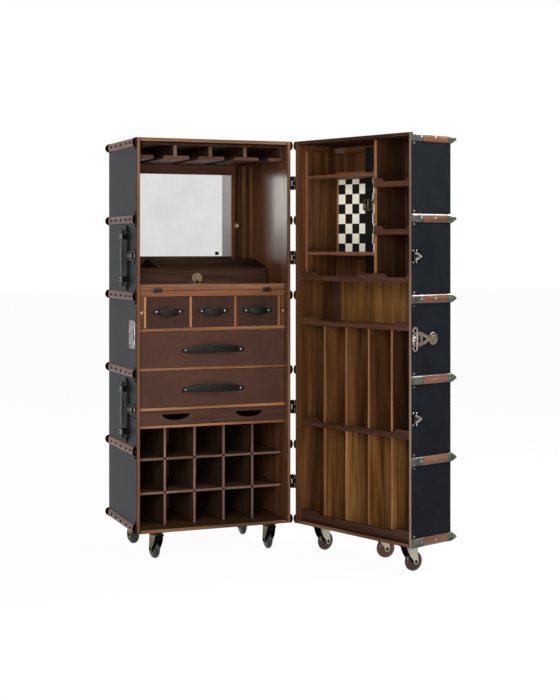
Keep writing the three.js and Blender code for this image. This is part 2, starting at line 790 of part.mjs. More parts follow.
// Shallow trays with a half-moon finger slot, whose fronts meet before the divider
function tray(side) {
  const low = trayFloor + seat;
  const high = trayTop - play;
  const back = mainBack - drawerBackGap;
  const frontBack = boardRecess + frontThickness;
  const ends = (divider, wall) =>
    toward(middle, side, divider / 2 + play + wall, interiorWidth / 2 - play - wall);
  const centreX = middle + (side * interiorWidth) / 4;
  const slotTop = high - fingerSlotDrop;
  const slot = arc(centreX, slotTop, fingerSlotWidth / 2, fingerSlotHeight, halfTurn, 2 * halfTurn, arcSteps);
  const body = join([
    slab(...ends(0, 0), boardRecess, frontBack, low, high),
    slab(...ends(drawerDivider, 0), frontBack - weld, back, low, high),
  ]);
  return cut(body, [
    slab(...ends(drawerDivider, trayWall), frontBack, back - trayWall, low + drawerBottom, high + overrun),
    prism(slot, 'xz', boardRecess - overrun, frontBack + overrun),
  ]);
}
piece(mainCase, 'tray_left', tray(-1), wood);
piece(mainCase, 'tray_right', tray(1), wood);

// Half of a squared-off ellipse, from one end over its top to the other
function squaredArch(centreA, centreB, rise, half) {
  return arc(0, 0, 1, 1, -quarterTurn, quarterTurn, arcSteps).map(([a, b]) => [
    centreA + rise * Math.max(a, 0) ** archPower,
    centreB + half * Math.sign(b) * Math.abs(b) ** archPower,
  ]);
}

// Leather carry handles on the outer side: a base strip, and over it a grip that two keepers hold
['upper_handle', 'lower_handle'].forEach((name, i) => {
  const centre = carryHeights[i];
  const half = carryLength / 2;
  const face = -seat;
  const outer = squaredArch(face, centre, -carryRise, half);
  const inner = squaredArch(face, centre, carryThickness - carryRise, half - carryFoot).reverse();
  const grip = prism([...outer, ...inner].reverse(), 'xz', ...around(carryDepth, carryWidth));
  const base = slab(face - carryBaseThickness, face, ...around(carryDepth, carryWidth),
    ...around(centre, carryLength - 2 * carryThickness));
  const keeperFrom = half - carryKeeperInset - carryKeeperLength;
  const keepers = [-1, 1].map((side) => slab(face - carryRise, face, ...around(carryDepth, carryKeeperWidth),
    ...toward(centre, side, keeperFrom, keeperFrom + carryKeeperLength)));
  piece(mainCase, name, join([grip, base, ...keepers]), blackLeather);
});

// Lid shell
const lockBarrel = lockPivotProud + caseWidth;

// Ears and pin that carry a lock's lever on the lid's side
function lockBase(pivotDepth, plateDepth, height, plateHeight, leverWidth) {
  const root = caseWidth - weld;
  const earFrom = leverWidth / 2 + seat;
  const ears = [-1, 1].flatMap((side) => {
    const span = toward(height, side, earFrom, earFrom + lockEar);
    return [
      rod('z', lockBarrelRadius, ...span, lockBarrel, pivotDepth, smallSides),
      slab(root, lockBarrel, ...around(pivotDepth, lockBarrelRadius), ...span),
    ];
  });
  return [
    slab(root, caseWidth + plateThickness, plateInset, plateDepth, ...around(height, plateHeight)),
    ...ears,
    rod('z', lockPinRadius, ...around(height, 2 * (earFrom + weld)), lockBarrel, pivotDepth, smallSides),
  ];
}

// A lever round the pin: its barrel, and a flat outline in the plane of depth and height
function lockLever(pivotDepth, height, outline, leverWidth, extras) {
  const round = (radius, length) =>
    rod('z', radius, ...around(height, length), lockBarrel, pivotDepth, smallSides);
  const plate = prism(outline, 'yz', ...around(lockBarrel, haspThickness));
  const barrel = round(lockBarrelRadius, leverWidth);
  return cut(join([plate, barrel, ...extras]), [round(lockBoreRadius, leverWidth + overrun)]);
}

const latchBases = latchHeights.flatMap((height) =>
  lockBase(latchPivotInset, latchPlateDepth, height, latchPlateHeight, latchWidth));
piece(lidBody, 'lid_free_panel', join([
  slab(interiorRight, caseWidth, 0, lidDepth, 0, caseHeight),
  ...sideBands(caseWidth, 1, lidDepth),
  ...lockBase(haspPivotInset, hingePlateDepth, lockHeight, hingePlateHeight, haspWidth),
  ...latchBases,
]), shellLeather);

piece(lidBody, 'lid_hinge_panel', join([
  slab(0, panelThickness, 0, lidDepth, 0, caseHeight),
  ...sideBands(0, -1, lidDepth),
  ...hingeHeights.map((height) => hingeHalf(0, -1, -hingeOffset, -seamGap / 2, height, false)),
]), shellLeather);

piece(lidBody, 'lid_back_panel', join([
  slab(boardLeft, boardRight, lidBack, lidDepth, floor + seat, ceiling - seat),
  ...backBands(lidDepth),
]), wood);
piece(lidBody, 'lid_top_panel', slab(boardLeft, boardRight, 0, lidDepth, ceiling, caseHeight),
  shellLeather);

// The front lip of a lid shelf: a strip whose top edge steps up at each raised span
function lip(from, to, bottom, height, raisedSpans) {
  const low = bottom + height;
  const high = low + lipRise;
  const edge = raisedSpans.flatMap(([start, end]) => [
    ...(start > from ? [[start - lipSlope, low]] : []),
    [Math.max(start, from), high],
    [Math.min(end, to), high],
    ...(end < to ? [[end + lipSlope, low]] : []),
  ]);
  const outline = [[to, bottom], [from, bottom], ...edge];
  return prism(outline.reverse(), 'xz', lipRecess, lipRecess + lipThickness);
}

const endSpans = [[boardLeft, boardLeft + lipEnd], [boardRight - lipEnd, boardRight]];

function lidShelfBoard(from, to, bottom) {
  return slab(from, to, lipRecess + lipThickness - weld, lidBack - seat, bottom, bottom + lidShelf);
}

piece(lidBody, 'lid_bottom_panel', join([
  slab(boardLeft, boardRight, 0, lidDepth, 0, floor),
  lip(boardLeft, boardRight, floor - weld, bottomLipHeight + weld, endSpans),
  ...lidCasters.flatMap(({ x, y }) => casterPlate(x, y)),
]), shellLeather);

// Slots: a comb of dividers under the lower shelf, cross-lapped with the middle shelf
const middleShelfBottom = floor + lowerSlot;
const boardSize = boardSquare * boardSquares + 2 * boardEdge;
const fitmentHeight = retainerRise - boardDrop + boardSize + boardHeadroom + battenHeight + battenHeadroom;
const upperShelfTop = ceiling - fitmentHeight;
const upperShelfBottom = upperShelfTop - lidShelf;
const lowerShelfBottom = upperShelfBottom - openShelf - lidShelf;
const slotCentres = Array.from({ length: slotDividers }, (unused, i) =>
  middle + (i - (slotDividers - 1) / 2) * slotPitch);
const slotLap = (slotRecess + lidBack) / 2;
piece(lidBody, 'slot_frame', cut(join([
  lidShelfBoard(boardLeft, boardRight, lowerShelfBottom),
  lip(boardLeft, boardRight, lowerShelfBottom, lipHeight, endSpans),
  ...slotCentres.map((centre) => slab(...around(centre, slotBoard), slotRecess, lidBack - seat, floor + seat,
    lowerShelfBottom + weld)),
]), [slab(boardLeft, boardRight, slotRecess - overrun, slotLap + seat, middleShelfBottom - seat,
  middleShelfBottom + lidShelf + seat)]), wood);
piece(lidBody, 'lid_shelf_middle', cut(join([
  lidShelfBoard(boardLeft, boardRight, middleShelfBottom),
  lip(boardLeft, boardRight, middleShelfBottom, lipHeight, endSpans),
]), slotCentres.map((centre) => slab(...around(centre, slotBoard + 2 * seat), slotLap, lidBack + overrun,
  middleShelfBottom - overrun, middleShelfBottom + lidShelf + overrun))), wood);

const compartmentLeft = boardLeft + sideBoard;
const compartmentRight = compartmentLeft + compartmentWidth;
const columnLeft = compartmentRight + upperDivider;
const dividerMiddle = compartmentRight + upperDivider / 2;
piece(lidBody, 'lid_shelf_upper', join([
  lidShelfBoard(boardLeft, boardRight, upperShelfBottom),
  lip(boardLeft, boardRight, upperShelfBottom, lipHeight, [
    endSpans[0],
    [dividerMiddle - middleLipReach, dividerMiddle + middleLipReach],
    [boardRight - columnLipEnd, boardRight],
  ]),
]), wood);

// Upper fitment: board compartment on the left and a column of three bays on the right
const fitmentBottom = upperShelfTop + seat;
const columnShelfBottoms = [
  upperShelfTop + columnBayLower,
  upperShelfTop + columnBayLower + lidShelf + columnBayMiddle,
];
const sideBoardTop = ceiling - sideBoardHeadroom;
const lowerRetainerBottom = upperShelfTop + retainerRise;
const boardBottom = lowerRetainerBottom - boardDrop;
const boardFront = lidBack - seat - boardThickness;
const retainerBack = boardFront - strapThickness - 2 * seat;
function retainer(bottom) {
  return slab(compartmentLeft - weld, compartmentRight + weld, fitmentRecess, retainerBack, bottom,
    bottom + retainerThickness);
}
piece(lidBody, 'upper_fitment', join([
  slab(boardLeft, compartmentLeft, fitmentRecess, lidBack - seat, fitmentBottom, sideBoardTop),
  slab(compartmentRight, columnLeft, fitmentRecess, lidBack - seat, fitmentBottom, ceiling - seat),
  retainer(lowerRetainerBottom),
  retainer(lowerRetainerBottom + retainerPitch),
  slab(compartmentLeft - weld, compartmentRight + weld, boardFront, lidBack - seat,
    ceiling - battenHeadroom - battenHeight, ceiling - battenHeadroom),
  slab(compartmentLeft - weld, compartmentRight + weld, boardFront, lidBack - seat,
    boardBottom - boardRestHeight, boardBottom - seat),
  ...columnShelfBottoms.flatMap((bottom) => [
    lidShelfBoard(columnLeft - weld, boardRight, bottom),
    lip(columnLeft, boardRight, bottom, lipHeight, [[columnLeft, columnLeft + columnLipStart],
      [boardRight - columnLipEnd, boardRight]]),
  ]),
]), wood);

// Game board, standing behind the retainers, and the strap that holds it
const compartmentMiddle = (compartmentLeft + compartmentRight) / 2;
piece(lidBody, 'game_board', slab(...around(compartmentMiddle, boardSize), boardFront, lidBack - seat,
  boardBottom, boardBottom + boardSize), boardFinish);

const strapMiddle = compartmentMiddle + strapShift;
const strapBack = boardFront - seat;
const strapFront = strapBack - strapThickness;
const buckleFront = strapFront - buckleThickness;
const buckleSpan = around(boardBottom + boardSize / 2 + buckleRise, buckleHeight);
const buckleRoom = around(boardBottom + boardSize / 2 + buckleRise, buckleHeight - 2 * buckleBar);
const buckle = cut(
  slab(...around(strapMiddle, buckleWidth), buckleFront, strapFront + weld, ...buckleSpan),
  [slab(...around(strapMiddle, buckleWidth - 2 * buckleBar), buckleFront - overrun, strapFront + overrun,
    ...buckleRoom)],
);
piece(lidBody, 'board_strap', join([
  slab(...around(strapMiddle, strapWidth), strapFront, strapBack, upperShelfTop + strapRise,
    ceiling - strapHeadroom),
  buckle,
]), blackLeather);

// Hasp: a triangle that narrows from its hinge to a round end with a plain disc
const haspEnd = haspPivotInset + haspReach;
const haspOutline = [
  [haspPivotInset, lockHeight - haspWidth / 2],
  [haspEnd - haspDiscRadius, lockHeight - haspNeck / 2],
  [haspEnd, lockHeight - haspNeck / 2],
  [haspEnd, lockHeight + haspNeck / 2],
  [haspEnd - haspDiscRadius, lockHeight + haspNeck / 2],
  [haspPivotInset, lockHeight + haspWidth / 2],
];
const [haspInside, haspOutside] = around(lockBarrel, haspThickness);
const haspDisc = rod('x', haspDiscRadius, haspInside, haspOutside + haspDiscProud, haspEnd, lockHeight,
  discSides);
piece(lidBody, 'lock_hasp', lockLever(haspPivotInset, lockHeight, haspOutline, haspWidth, [haspDisc]),
  brass);

// Draw latches
['latch_lever_upper', 'latch_lever_lower'].forEach((name, i) => {
  const height = latchHeights[i];
  const outline = [
    [latchPivotInset, height - latchWidth / 2],
    [latchPivotInset + latchReach, height - latchTip / 2],
    [latchPivotInset + latchReach, height + latchTip / 2],
    [latchPivotInset, height + latchWidth / 2],
  ];
  piece(lidBody, name, lockLever(latchPivotInset, height, outline, latchWidth, []), steel);
});

// Casters. In their frame the swivel axis is the origin, Z = 0 is the case's underside, and the wheel trails
// along +X.
const axleHeight = wheelRadius * Math.cos(Math.PI / wheelSides) - casterHeight;
const legInside = wheelHubWidth / 2 + forkGap;
const legOutside = legInside + forkThickness;
const crownTop = -casterPlateThickness - kingHeight - seat;
const pedalPivotX = -pedalPivotForward;
const pedalPivotZ = crownTop - pedalPivotDrop;

function forkGeometry(brake) {
  const boss = arc(casterTrail, axleHeight, forkBossRadius, forkBossRadius, -Math.PI, 0, arcSteps);
  const legOutline = [...boss, [forkCrownRadius + forkThickness, crownTop], [-forkCrownRadius, crownTop]];
  const legs = [-1, 1].map((side) => prism(legOutline, 'xz', ...toward(0, side, legInside, legOutside)));
  const crown = slab(-forkCrownRadius, forkCrownRadius + forkThickness, -legOutside, legOutside,
    crownTop - forkThickness, crownTop);
  const axle = rod('y', axleRadius, -legOutside, legOutside, casterTrail, axleHeight, smallSides);
  const heads = [-1, 1].map((side) => rod('y', axleHeadRadius,
    ...toward(0, side, legOutside - weld, legOutside + axleHead), casterTrail, axleHeight, smallSides));
  const pin = rod('y', pedalPinRadius, -legInside - weld, legInside + weld, pedalPivotX, pedalPivotZ,
    smallSides);
  return join([crown, ...legs, axle, ...heads, ...(brake ? [pin] : [])]);
}

function wheelGeometry() {
  const face = wheelFaceShares.map((share) => {
    const bulge = (wheelWidth / 2) * (1 - share ** wheelRoundness) ** (1 / wheelRoundness);
    return [wheelRadius * share, Math.max(bulge, wheelTread / 2)];
  });
  const halfProfile = [[axleBore, wheelHubWidth / 2], [wheelHubRadius, wheelHubWidth / 2], ...face];
  const lower = halfProfile.map(([r, y]) => [r, -y]);
  const upper = [...halfProfile].reverse();
  const profile = [...lower, ...upper, lower[0]].map(([r, y]) => new THREE.Vector2(r, y));
  const wheel = new THREE.LatheGeometry(profile, wheelSides, Math.PI / wheelSides);
  return wheel.translate(casterTrail, 0, axleHeight);
}

// The shoe stands back from the line between the pedal's pivot and the axle by the pedal's travel
function pedalGeometry() {
  const acrossX = casterTrail - pedalPivotX;
  const acrossZ = axleHeight - pedalPivotZ;
  const shoeReach = Math.hypot(acrossX, acrossZ) - wheelRadius - brakeGap;
  const shoeAngle = Math.atan2(acrossZ, acrossX) - THREE.MathUtils.degToRad(brakeTravel);
  const fromPivot = (reach, side) => [
    pedalPivotX + reach * Math.cos(shoeAngle) - (side * shoeThickness * Math.sin(shoeAngle)) / 2,
    pedalPivotZ + reach * Math.sin(shoeAngle) + (side * shoeThickness * Math.cos(shoeAngle)) / 2,
  ];
  const tipX = pedalPivotX - pedalReach;
  const outline = [
    [pedalPivotX, pedalPivotZ + pedalBarrelRadius - seat],
    [tipX + pedalThickness, pedalPivotZ + pedalBarrelRadius],
    [tipX, pedalPivotZ],
    [tipX + pedalThickness, pedalPivotZ - pedalThickness],
    [pedalPivotX - shoeThickness, pedalPivotZ - pedalThickness],
    fromPivot(shoeReach, -1),
    fromPivot(shoeReach, 1),
    fromPivot(0, 1),
  ];
  const lever = prism(outline, 'xz', ...around(0, pedalWidth));
  const barrelHalf = legInside - seat;
  const barrel = rod('y', pedalBarrelRadius, -barrelHalf, barrelHalf, pedalPivotX, pedalPivotZ, smallSides);
  const bore = rod('y', pedalBoreRadius, -legOutside, legOutside, pedalPivotX, pedalPivotZ, smallSides);
  return cut(join([lever, barrel]), [bore]);
}

function addCaster(parent, prefix, { name, x, y, heading, brake }) {
  const caster = new THREE.Group();
  caster.position.set(x, y, 0);
  caster.rotation.z = THREE.MathUtils.degToRad(heading);
  parent.add(caster);
  piece(caster, `${prefix}_fork_${name}`, forkGeometry(brake), steel);
  piece(caster, `${prefix}_wheel_${name}`, wheelGeometry(), wheelRubber);
  if (brake) piece(caster, `${prefix}_pedal_${name}`, pedalGeometry(), blackPaint);
}
mainCasters.forEach((caster) => addCaster(mainCase, 'main', caster));
lidCasters.forEach((caster) => addCaster(lidBody, 'lid', caster));

// Stand the model on the middle of its base
cabinet.updateMatrixWorld(true);
const bounds = new THREE.Box3().setFromObject(cabinet, true);
cabinet.position.set(-(bounds.min.x + bounds.max.x) / 2, -(bounds.min.y + bounds.max.y) / 2, -bounds.min.z);
cabinet.updateMatrixWorld(true);

export default cabinet;
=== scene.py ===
"""Looks of a trunk-style bar cabinet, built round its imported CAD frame.

Sizes here are in millimetres in two local frames, the same ones as the CAD source uses.
Main case: X along its width from the left outer face, Y into its depth from the open front, and Z up from
its underside.
Lid: the same, seen from the lid's own open front, with X = 0 on its hinge side.
"""
import math
from functools import cache
from itertools import product

import bmesh
import bpy
from mathutils import Matrix, Vector


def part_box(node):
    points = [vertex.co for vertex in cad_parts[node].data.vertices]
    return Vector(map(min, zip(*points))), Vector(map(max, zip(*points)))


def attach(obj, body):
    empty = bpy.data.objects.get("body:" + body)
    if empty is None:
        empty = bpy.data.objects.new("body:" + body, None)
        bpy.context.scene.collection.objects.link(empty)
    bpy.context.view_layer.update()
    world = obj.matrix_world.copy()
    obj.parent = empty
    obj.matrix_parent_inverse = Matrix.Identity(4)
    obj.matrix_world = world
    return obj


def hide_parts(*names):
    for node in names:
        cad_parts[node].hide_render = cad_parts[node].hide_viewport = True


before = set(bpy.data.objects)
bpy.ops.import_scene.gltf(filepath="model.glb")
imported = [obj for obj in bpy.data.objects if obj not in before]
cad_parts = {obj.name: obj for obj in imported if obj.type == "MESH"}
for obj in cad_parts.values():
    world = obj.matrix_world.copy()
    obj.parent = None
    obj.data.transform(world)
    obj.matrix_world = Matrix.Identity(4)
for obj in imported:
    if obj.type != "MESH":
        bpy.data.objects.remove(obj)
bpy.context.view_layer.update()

MM = 0.001
TURN = 2 * math.pi

# Sizes that the CAD source gives
WIDTH, HEIGHT, DEPTH, LID_DEPTH = 627, 1500, 407, 210
PANEL, SEAT, PLAY = 14, 0.3, 1
FLOOR, CEILING = PANEL, HEIGHT - PANEL
INNER_LEFT, INNER_RIGHT = PANEL, WIDTH - PANEL
BACK, LID_BACK = DEPTH - PANEL, LID_DEPTH - PANEL
MIDDLE = WIDTH / 2
RECESS = 25
BAND_HEIGHT, BAND_PROUD, BAND_COUNT = 33, 9, 6
BAND_PITCH = (HEIGHT - BAND_HEIGHT) / (BAND_COUNT - 1)
BANDS = [BAND_HEIGHT / 2 + i * BAND_PITCH for i in range(BAND_COUNT)]
HINGE_OFFSET, LID_ANGLE = 11, 109.5


def height_at(share):
    """A height on the case, as a share of the way from the lowest band's middle to the highest's."""
    return BAND_HEIGHT / 2 + share * (HEIGHT - BAND_HEIGHT)


HINGES = [height_at(s) for s in (0.1, 0.3, 0.7, 0.9)]
CARRY = [height_at(s) for s in (0.7, 0.3)]
LOCK = height_at(0.5) + 2
LATCHES = [height_at(s) + 8 for s in (0.7, 0.3)]

# The two local frames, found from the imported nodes
top_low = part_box("main_top_panel")[0]
MAIN = Matrix.Translation((top_low.x - (PANEL + SEAT) * MM, top_low.y, top_low.z - CEILING * MM))
LID = (
    MAIN
    @ Matrix.Translation(((WIDTH + HINGE_OFFSET) * MM, -MM, 0))
    @ Matrix.Rotation(math.radians(180 + LID_ANGLE), 4, "Z")
    @ Matrix.Translation((HINGE_OFFSET * MM, MM, 0))
)


# Materials

def node(tree, kind, inputs=None, **settings):
    """Adds a shader node with its settings and its inputs, each of them a value or another node's output."""
    made = tree.nodes.new("ShaderNode" + kind)
    for key, value in settings.items():
        setattr(made, key, value)
    for key, value in (inputs or {}).items():
        if isinstance(value, bpy.types.NodeSocket):
            tree.links.new(value, made.inputs[key])
        else:
            made.inputs[key].default_value = value
    return made


def start(name, color, roughness, metallic=0.0, **uniform):
    """A Principled material and its node tree. Values that are the same all over are set on the shader."""
    made = bpy.data.materials.new(name)
    made.use_nodes = True
    tree = made.node_tree
    shader = tree.nodes["Principled BSDF"]
    for key, value in dict(uniform, Base_Color=(*color, 1), Roughness=roughness, Metallic=metallic).items():
        shader.inputs[key.replace("_", " ")].default_value = value
    return made, tree, shader


def coordinates(tree, scale=(1, 1, 1), island=False):
    """Object coordinates, stretched, and on request shifted for each board so that no two look alike."""
    place = node(tree, "TexCoord").outputs["Object"]
    if island:
        own = node(tree, "NewGeometry").outputs["Random Per Island"]
        shift = node(tree, "VectorMath", {0: own, 1: (7.3, 4.1, 5.7)}, operation="MULTIPLY")
        place = node(tree, "VectorMath", {0: place, 1: shift.outputs[0]}).outputs[0]
    return node(tree, "Mapping", {"Vector": place, "Scale": scale}).outputs[0]


def noise(tree, vector, scale, detail=4.0, rough=0.55, distortion=0.0):
    return node(tree, "TexNoise", {"Vector": vector, "Scale": scale, "Detail": detail, "Roughness": rough,
                                   "Distortion": distortion}).outputs["Fac"]


def join(tree, a, b, operation="ADD"):
    return node(tree, "Math", {0: a, 1: b}, operation=operation).outputs[0]


def average(tree, a, b):
    return join(tree, join(tree, a, b), 0.5, "MULTIPLY")


def ramp(tree, value, stops):
    made = node(tree, "ValToRGB", {"Fac": value})
    elements = made.color_ramp.elements
    while len(elements) < len(stops):
        elements.new(0.5)
    for element, (place, color) in zip(elements, stops):
        element.position, element.color = place, (*color, 1)
    return made.outputs["Color"]


def spread(tree, value, low, high, from_low=0.3, from_high=0.7):
    """A value mapped from its usual range to another."""
    return node(tree, "MapRange", {"Value": value, "From Min": from_low, "From Max": from_high, "To Min": low,
                                   "To Max": high}).outputs[0]


def shade(tree, color, mask, share):
    """A colour multiplied by a mask, by as much as share says."""
    mixed = node(tree, "Mix", {6: color, 7: mask, 0: share}, data_type="RGBA", blend_type="MULTIPLY")
    return mixed.outputs[2]


def surface(tree, shader, color, roughness, height=None, strength=0.0, distance=0.0):
    """Joins the shader to its colour, its roughness and its relief."""
    tree.links.new(color, shader.inputs["Base Color"])
    tree.links.new(roughness, shader.inputs["Roughness"])
    if height is not None:
        relief = node(tree, "Bump", {"Height": height, "Strength": strength, "Distance": distance})
        tree.links.new(relief.outputs[0], shader.inputs["Normal"])


WHITE = (1, 1, 1)
WOODS = {  # dark streaks, middle, light streaks, roughness, coat, specular level
    "warm": ((0.034, 0.012, 0.005), (0.092, 0.037, 0.013), (0.170, 0.076, 0.028), 0.42, 0.0, 0.10),
    # Painted light: the warm interior wood lightened, for boards in the lid where the lamps reach.
    "golden": ((0.055, 0.020, 0.006), (0.175, 0.075, 0.020), (0.330, 0.165, 0.055), 0.40, 0.0, 0.10),
    # Very dark wood, and painted shade where it darkens linings, recessed bays and faces that the lamps
    # hardly reach.
    "deep": ((0.014, 0.006, 0.003), (0.036, 0.016, 0.007), (0.062, 0.028, 0.012), 0.45, 0.0, 0.05),
    "wall": ((0.044, 0.016, 0.007), (0.095, 0.038, 0.016), (0.155, 0.068, 0.030), 0.36, 0.16, 0.12),
    # Lighter lipping for front edges: partly its own colour, partly painted light, as front edges that catch
    # the lamps.
    "edge": ((0.130, 0.052, 0.021), (0.250, 0.110, 0.050), (0.360, 0.180, 0.090), 0.42, 0.0, 0.10),
    "shelf": ((0.080, 0.034, 0.016), (0.155, 0.066, 0.032), (0.235, 0.112, 0.058), 0.42, 0.0, 0.10),
    "rim": ((0.050, 0.020, 0.010), (0.118, 0.052, 0.024), (0.195, 0.098, 0.050), 0.42, 0.0, 0.08),
    "grey": ((0.095, 0.060, 0.042), (0.165, 0.112, 0.083), (0.240, 0.175, 0.135), 0.45, 0.0, 0.10),
    "pink": ((0.080, 0.046, 0.036), (0.150, 0.088, 0.070), (0.220, 0.135, 0.108), 0.42, 0.0, 0.10),
    "lip": ((0.032, 0.012, 0.007), (0.062, 0.025, 0.014), (0.098, 0.042, 0.025), 0.40, 0.0, 0.08),
    "bottom_lip": ((0.024, 0.010, 0.006), (0.045, 0.019, 0.011), (0.072, 0.033, 0.020), 0.42, 0.0, 0.05),
    "tray": ((0.034, 0.0155, 0.0105), (0.058, 0.027, 0.019), (0.082, 0.041, 0.029), 0.42, 0.0, 0.06),
    "dark": ((0.020, 0.010, 0.006), (0.044, 0.023, 0.014), (0.074, 0.039, 0.024), 0.50, 0.0, 0.03),
    # Painted shade: the dark wood darkened further and without shine, for the serving box's sloping lid and
    # its back board.
    "box": ((0.016, 0.008, 0.005), (0.034, 0.018, 0.011), (0.056, 0.030, 0.019), 0.55, 0.0, 0.0),
    "band": ((0.075, 0.030, 0.017), (0.150, 0.066, 0.040), (0.230, 0.112, 0.072), 0.26, 0.0, 0.06),
    "lid_band": ((0.048, 0.015, 0.006), (0.102, 0.036, 0.014), (0.165, 0.064, 0.028), 0.26, 0.6, 0.06),
}


@cache
def wood(tone, axis):
    """Satin-lacquered wood whose grain runs along one axis of its object."""
    dark, middle, light, roughness, coat, level = WOODS[tone]
    made, tree, shader = start(f"wood_{tone}_{axis}", middle, roughness, Coat_Weight=coat,
                               Coat_Roughness=0.16, Specular_IOR_Level=level)
    broad, thin = [coordinates(tree, [along if a == axis else 1 for a in "xyz"], True)
                   for along in (0.07, 0.02)]
    figure = noise(tree, broad, 16, 3, 0.5, 1.2)
    streaks = noise(tree, thin, 210, 5, 0.62)
    pores = noise(tree, thin, 900, 2, 0.5)
    color = ramp(tree, average(tree, figure, streaks), [(0.36, dark), (0.50, middle), (0.64, light)])
    own = spread(tree, node(tree, "NewGeometry").outputs["Random Per Island"], 0.80, 1.15, 0, 1)
    color = shade(tree, color, node(tree, "CombineColor", {0: own, 1: own, 2: own}).outputs[0], 1.0)
    color = shade(tree, color, ramp(tree, pores, [(0.38, (0.55, 0.5, 0.45)), (0.46, WHITE)]), 0.6)
    surface(tree, shader, color, spread(tree, streaks, roughness + 0.08, roughness - 0.08),
            join(tree, streaks, pores), 0.25, 0.0004)
    return made


def leather(name, dark, light, roughness, grain, level, relief):
    """Leather with a fine pebbled grain, soft creases and slight wear."""
    made, tree, shader = start(name, light, roughness, Specular_IOR_Level=level)
    place = coordinates(tree)
    patches = noise(tree, place, 9, 4, 0.6)
    mottle = noise(tree, place, 140, 3, 0.6)
    cells = node(tree, "TexVoronoi", {"Vector": place, "Scale": grain, "Randomness": 1.0},
                 feature="DISTANCE_TO_EDGE").outputs["Distance"]
    surface(tree, shader, ramp(tree, average(tree, patches, mottle), [(0.38, dark), (0.62, light)]),
            spread(tree, mottle, roughness - 0.07, roughness + 0.09),
            join(tree, spread(tree, cells, 0, 1, 0, 0.25), mottle), relief, 0.0003)
    return made


def metal(name, color, dirt, roughness, scale=22, tint=0.6):
    """Metal with soft patches of tarnish, specks and fine scratches."""
    made, tree, shader = start(name, color, roughness, 1.0, Specular_Tint=(tint, tint, tint, 1))
    place = coordinates(tree)
    patches = noise(tree, place, scale, 4, 0.55)
    specks = noise(tree, place, 420, 3, 0.6)
    scratches = noise(tree, coordinates(tree, (1, 1, 0.08)), 1400, 3, 0.6)
    tarnish = ramp(tree, patches, [(0.38, color), (0.72, dirt)])
    speck = ramp(tree, specks, [(0.30, (0.62, 0.60, 0.56)), (0.42, WHITE)])
    surface(tree, shader, shade(tree, tarnish, speck, 0.8),
            spread(tree, patches, roughness - 0.05, roughness + 0.12),
            join(tree, specks, scratches), 0.10, 0.0002)
    return made


def resin(name, dark, light, roughness=0.22):
    """Glossy moulded wheel resin with a faint swirl."""
    made, tree, shader = start(name, light, roughness, Specular_IOR_Level=0.28, Coat_Weight=0.12,
                               Coat_Roughness=0.08)
    place = coordinates(tree)
    swirl = noise(tree, place, 45, 5, 0.6, 1.5)
    surface(tree, shader, ramp(tree, swirl, [(0.38, dark), (0.64, light)]),
            spread(tree, noise(tree, place, 300, 3), roughness - 0.05, roughness + 0.12), swirl, 0.08, 0.0004)
    return made


def mirror_glass():
    """Silvered glass with a faint haze."""
    made, tree, shader = start("mirror_glass", (0.70, 0.71, 0.70), 0.02, 1.0)
    haze = noise(tree, coordinates(tree), 7, 5, 0.6)
    surface(tree, shader, ramp(tree, haze, [(0.35, (0.735, 0.742, 0.735)), (0.75, (0.655, 0.665, 0.660))]),
            spread(tree, haze, 0.012, 0.035))
    return made


SHELL = leather("shell_leather", (0.0062, 0.0077, 0.0102), (0.0112, 0.0138, 0.0180), 0.44, 800, 0.095, 0.30)
# Painted shade: the shell leather darkened and made duller, for the lid's outside and for the tops and
# floors.
SHADED_DULL_SHELL = leather("shaded_dull_leather", (0.0036, 0.0045, 0.006), (0.0066, 0.0082, 0.0108), 0.46, 800, 0.035, 0.3)
DRAWER = leather("drawer_leather", (0.047, 0.0208, 0.0133), (0.062, 0.0275, 0.0176), 0.46, 1000, 0.09, 0.20)
# Painted shade: the drawer leather darkened for the small drawers under the counter.
SHADED_SMALL_DRAWER = leather("shaded_small_drawer_leather", (0.029, 0.0138, 0.0098), (0.040, 0.0190, 0.0134), 0.46, 1000,
                       0.07, 0.20)
BLACK = leather("black_leather", (0.0050, 0.0055, 0.0046), (0.0110, 0.0120, 0.0098), 0.32, 1100, 0.10, 0.25)
DULL_BLACK = leather("dull_black_leather", (0.0045, 0.0048, 0.0042), (0.0085, 0.0090, 0.0080), 0.5, 1100,
                     0.04, 0.25)
NICKEL = metal("nickel", (0.145, 0.143, 0.125), (0.050, 0.048, 0.041), 0.22, 45)
PLATE = metal("steel_plate", (0.27, 0.25, 0.24), (0.13, 0.118, 0.112), 0.30, 45)
PINK_STEEL = metal("worn_steel", (0.50, 0.455, 0.45), (0.22, 0.19, 0.19), 0.30, 60)
CREAM = metal("cream_nickel", (0.30, 0.29, 0.19), (0.14, 0.135, 0.09), 0.34, tint=0.4)
LIGHT_CREAM = metal("light_cream_nickel", (0.44, 0.42, 0.32), (0.23, 0.22, 0.17), 0.36)
SILVER = metal("dark_silver", (0.36, 0.33, 0.32), (0.075, 0.068, 0.066), 0.26, 70)
HASP_BRASS = metal("hasp_brass", (0.235, 0.180, 0.130), (0.085, 0.066, 0.048), 0.36, 90)
BRASS = metal("aged_brass", (0.27, 0.210, 0.120), (0.105, 0.080, 0.048), 0.36, 60)
BRONZE = metal("dark_bronze", (0.040, 0.037, 0.032), (0.012, 0.011, 0.010), 0.34, 60, 0.2)
IRON = metal("black_iron", (0.0095, 0.0092, 0.0092), (0.004, 0.004, 0.004), 0.42, 60, 0.10)
BEVEL = metal("mirror_bevel", (0.90, 0.90, 0.90), (0.74, 0.75, 0.74), 0.12, 40, 1.0)
MIRROR = mirror_glass()
RESIN_BLACK = resin("black_resin", (0.004, 0.0038, 0.0036), (0.014, 0.012, 0.0105))
RESIN_BROWN = resin("brown_resin", (0.014, 0.0058, 0.0044), (0.048, 0.019, 0.0135))
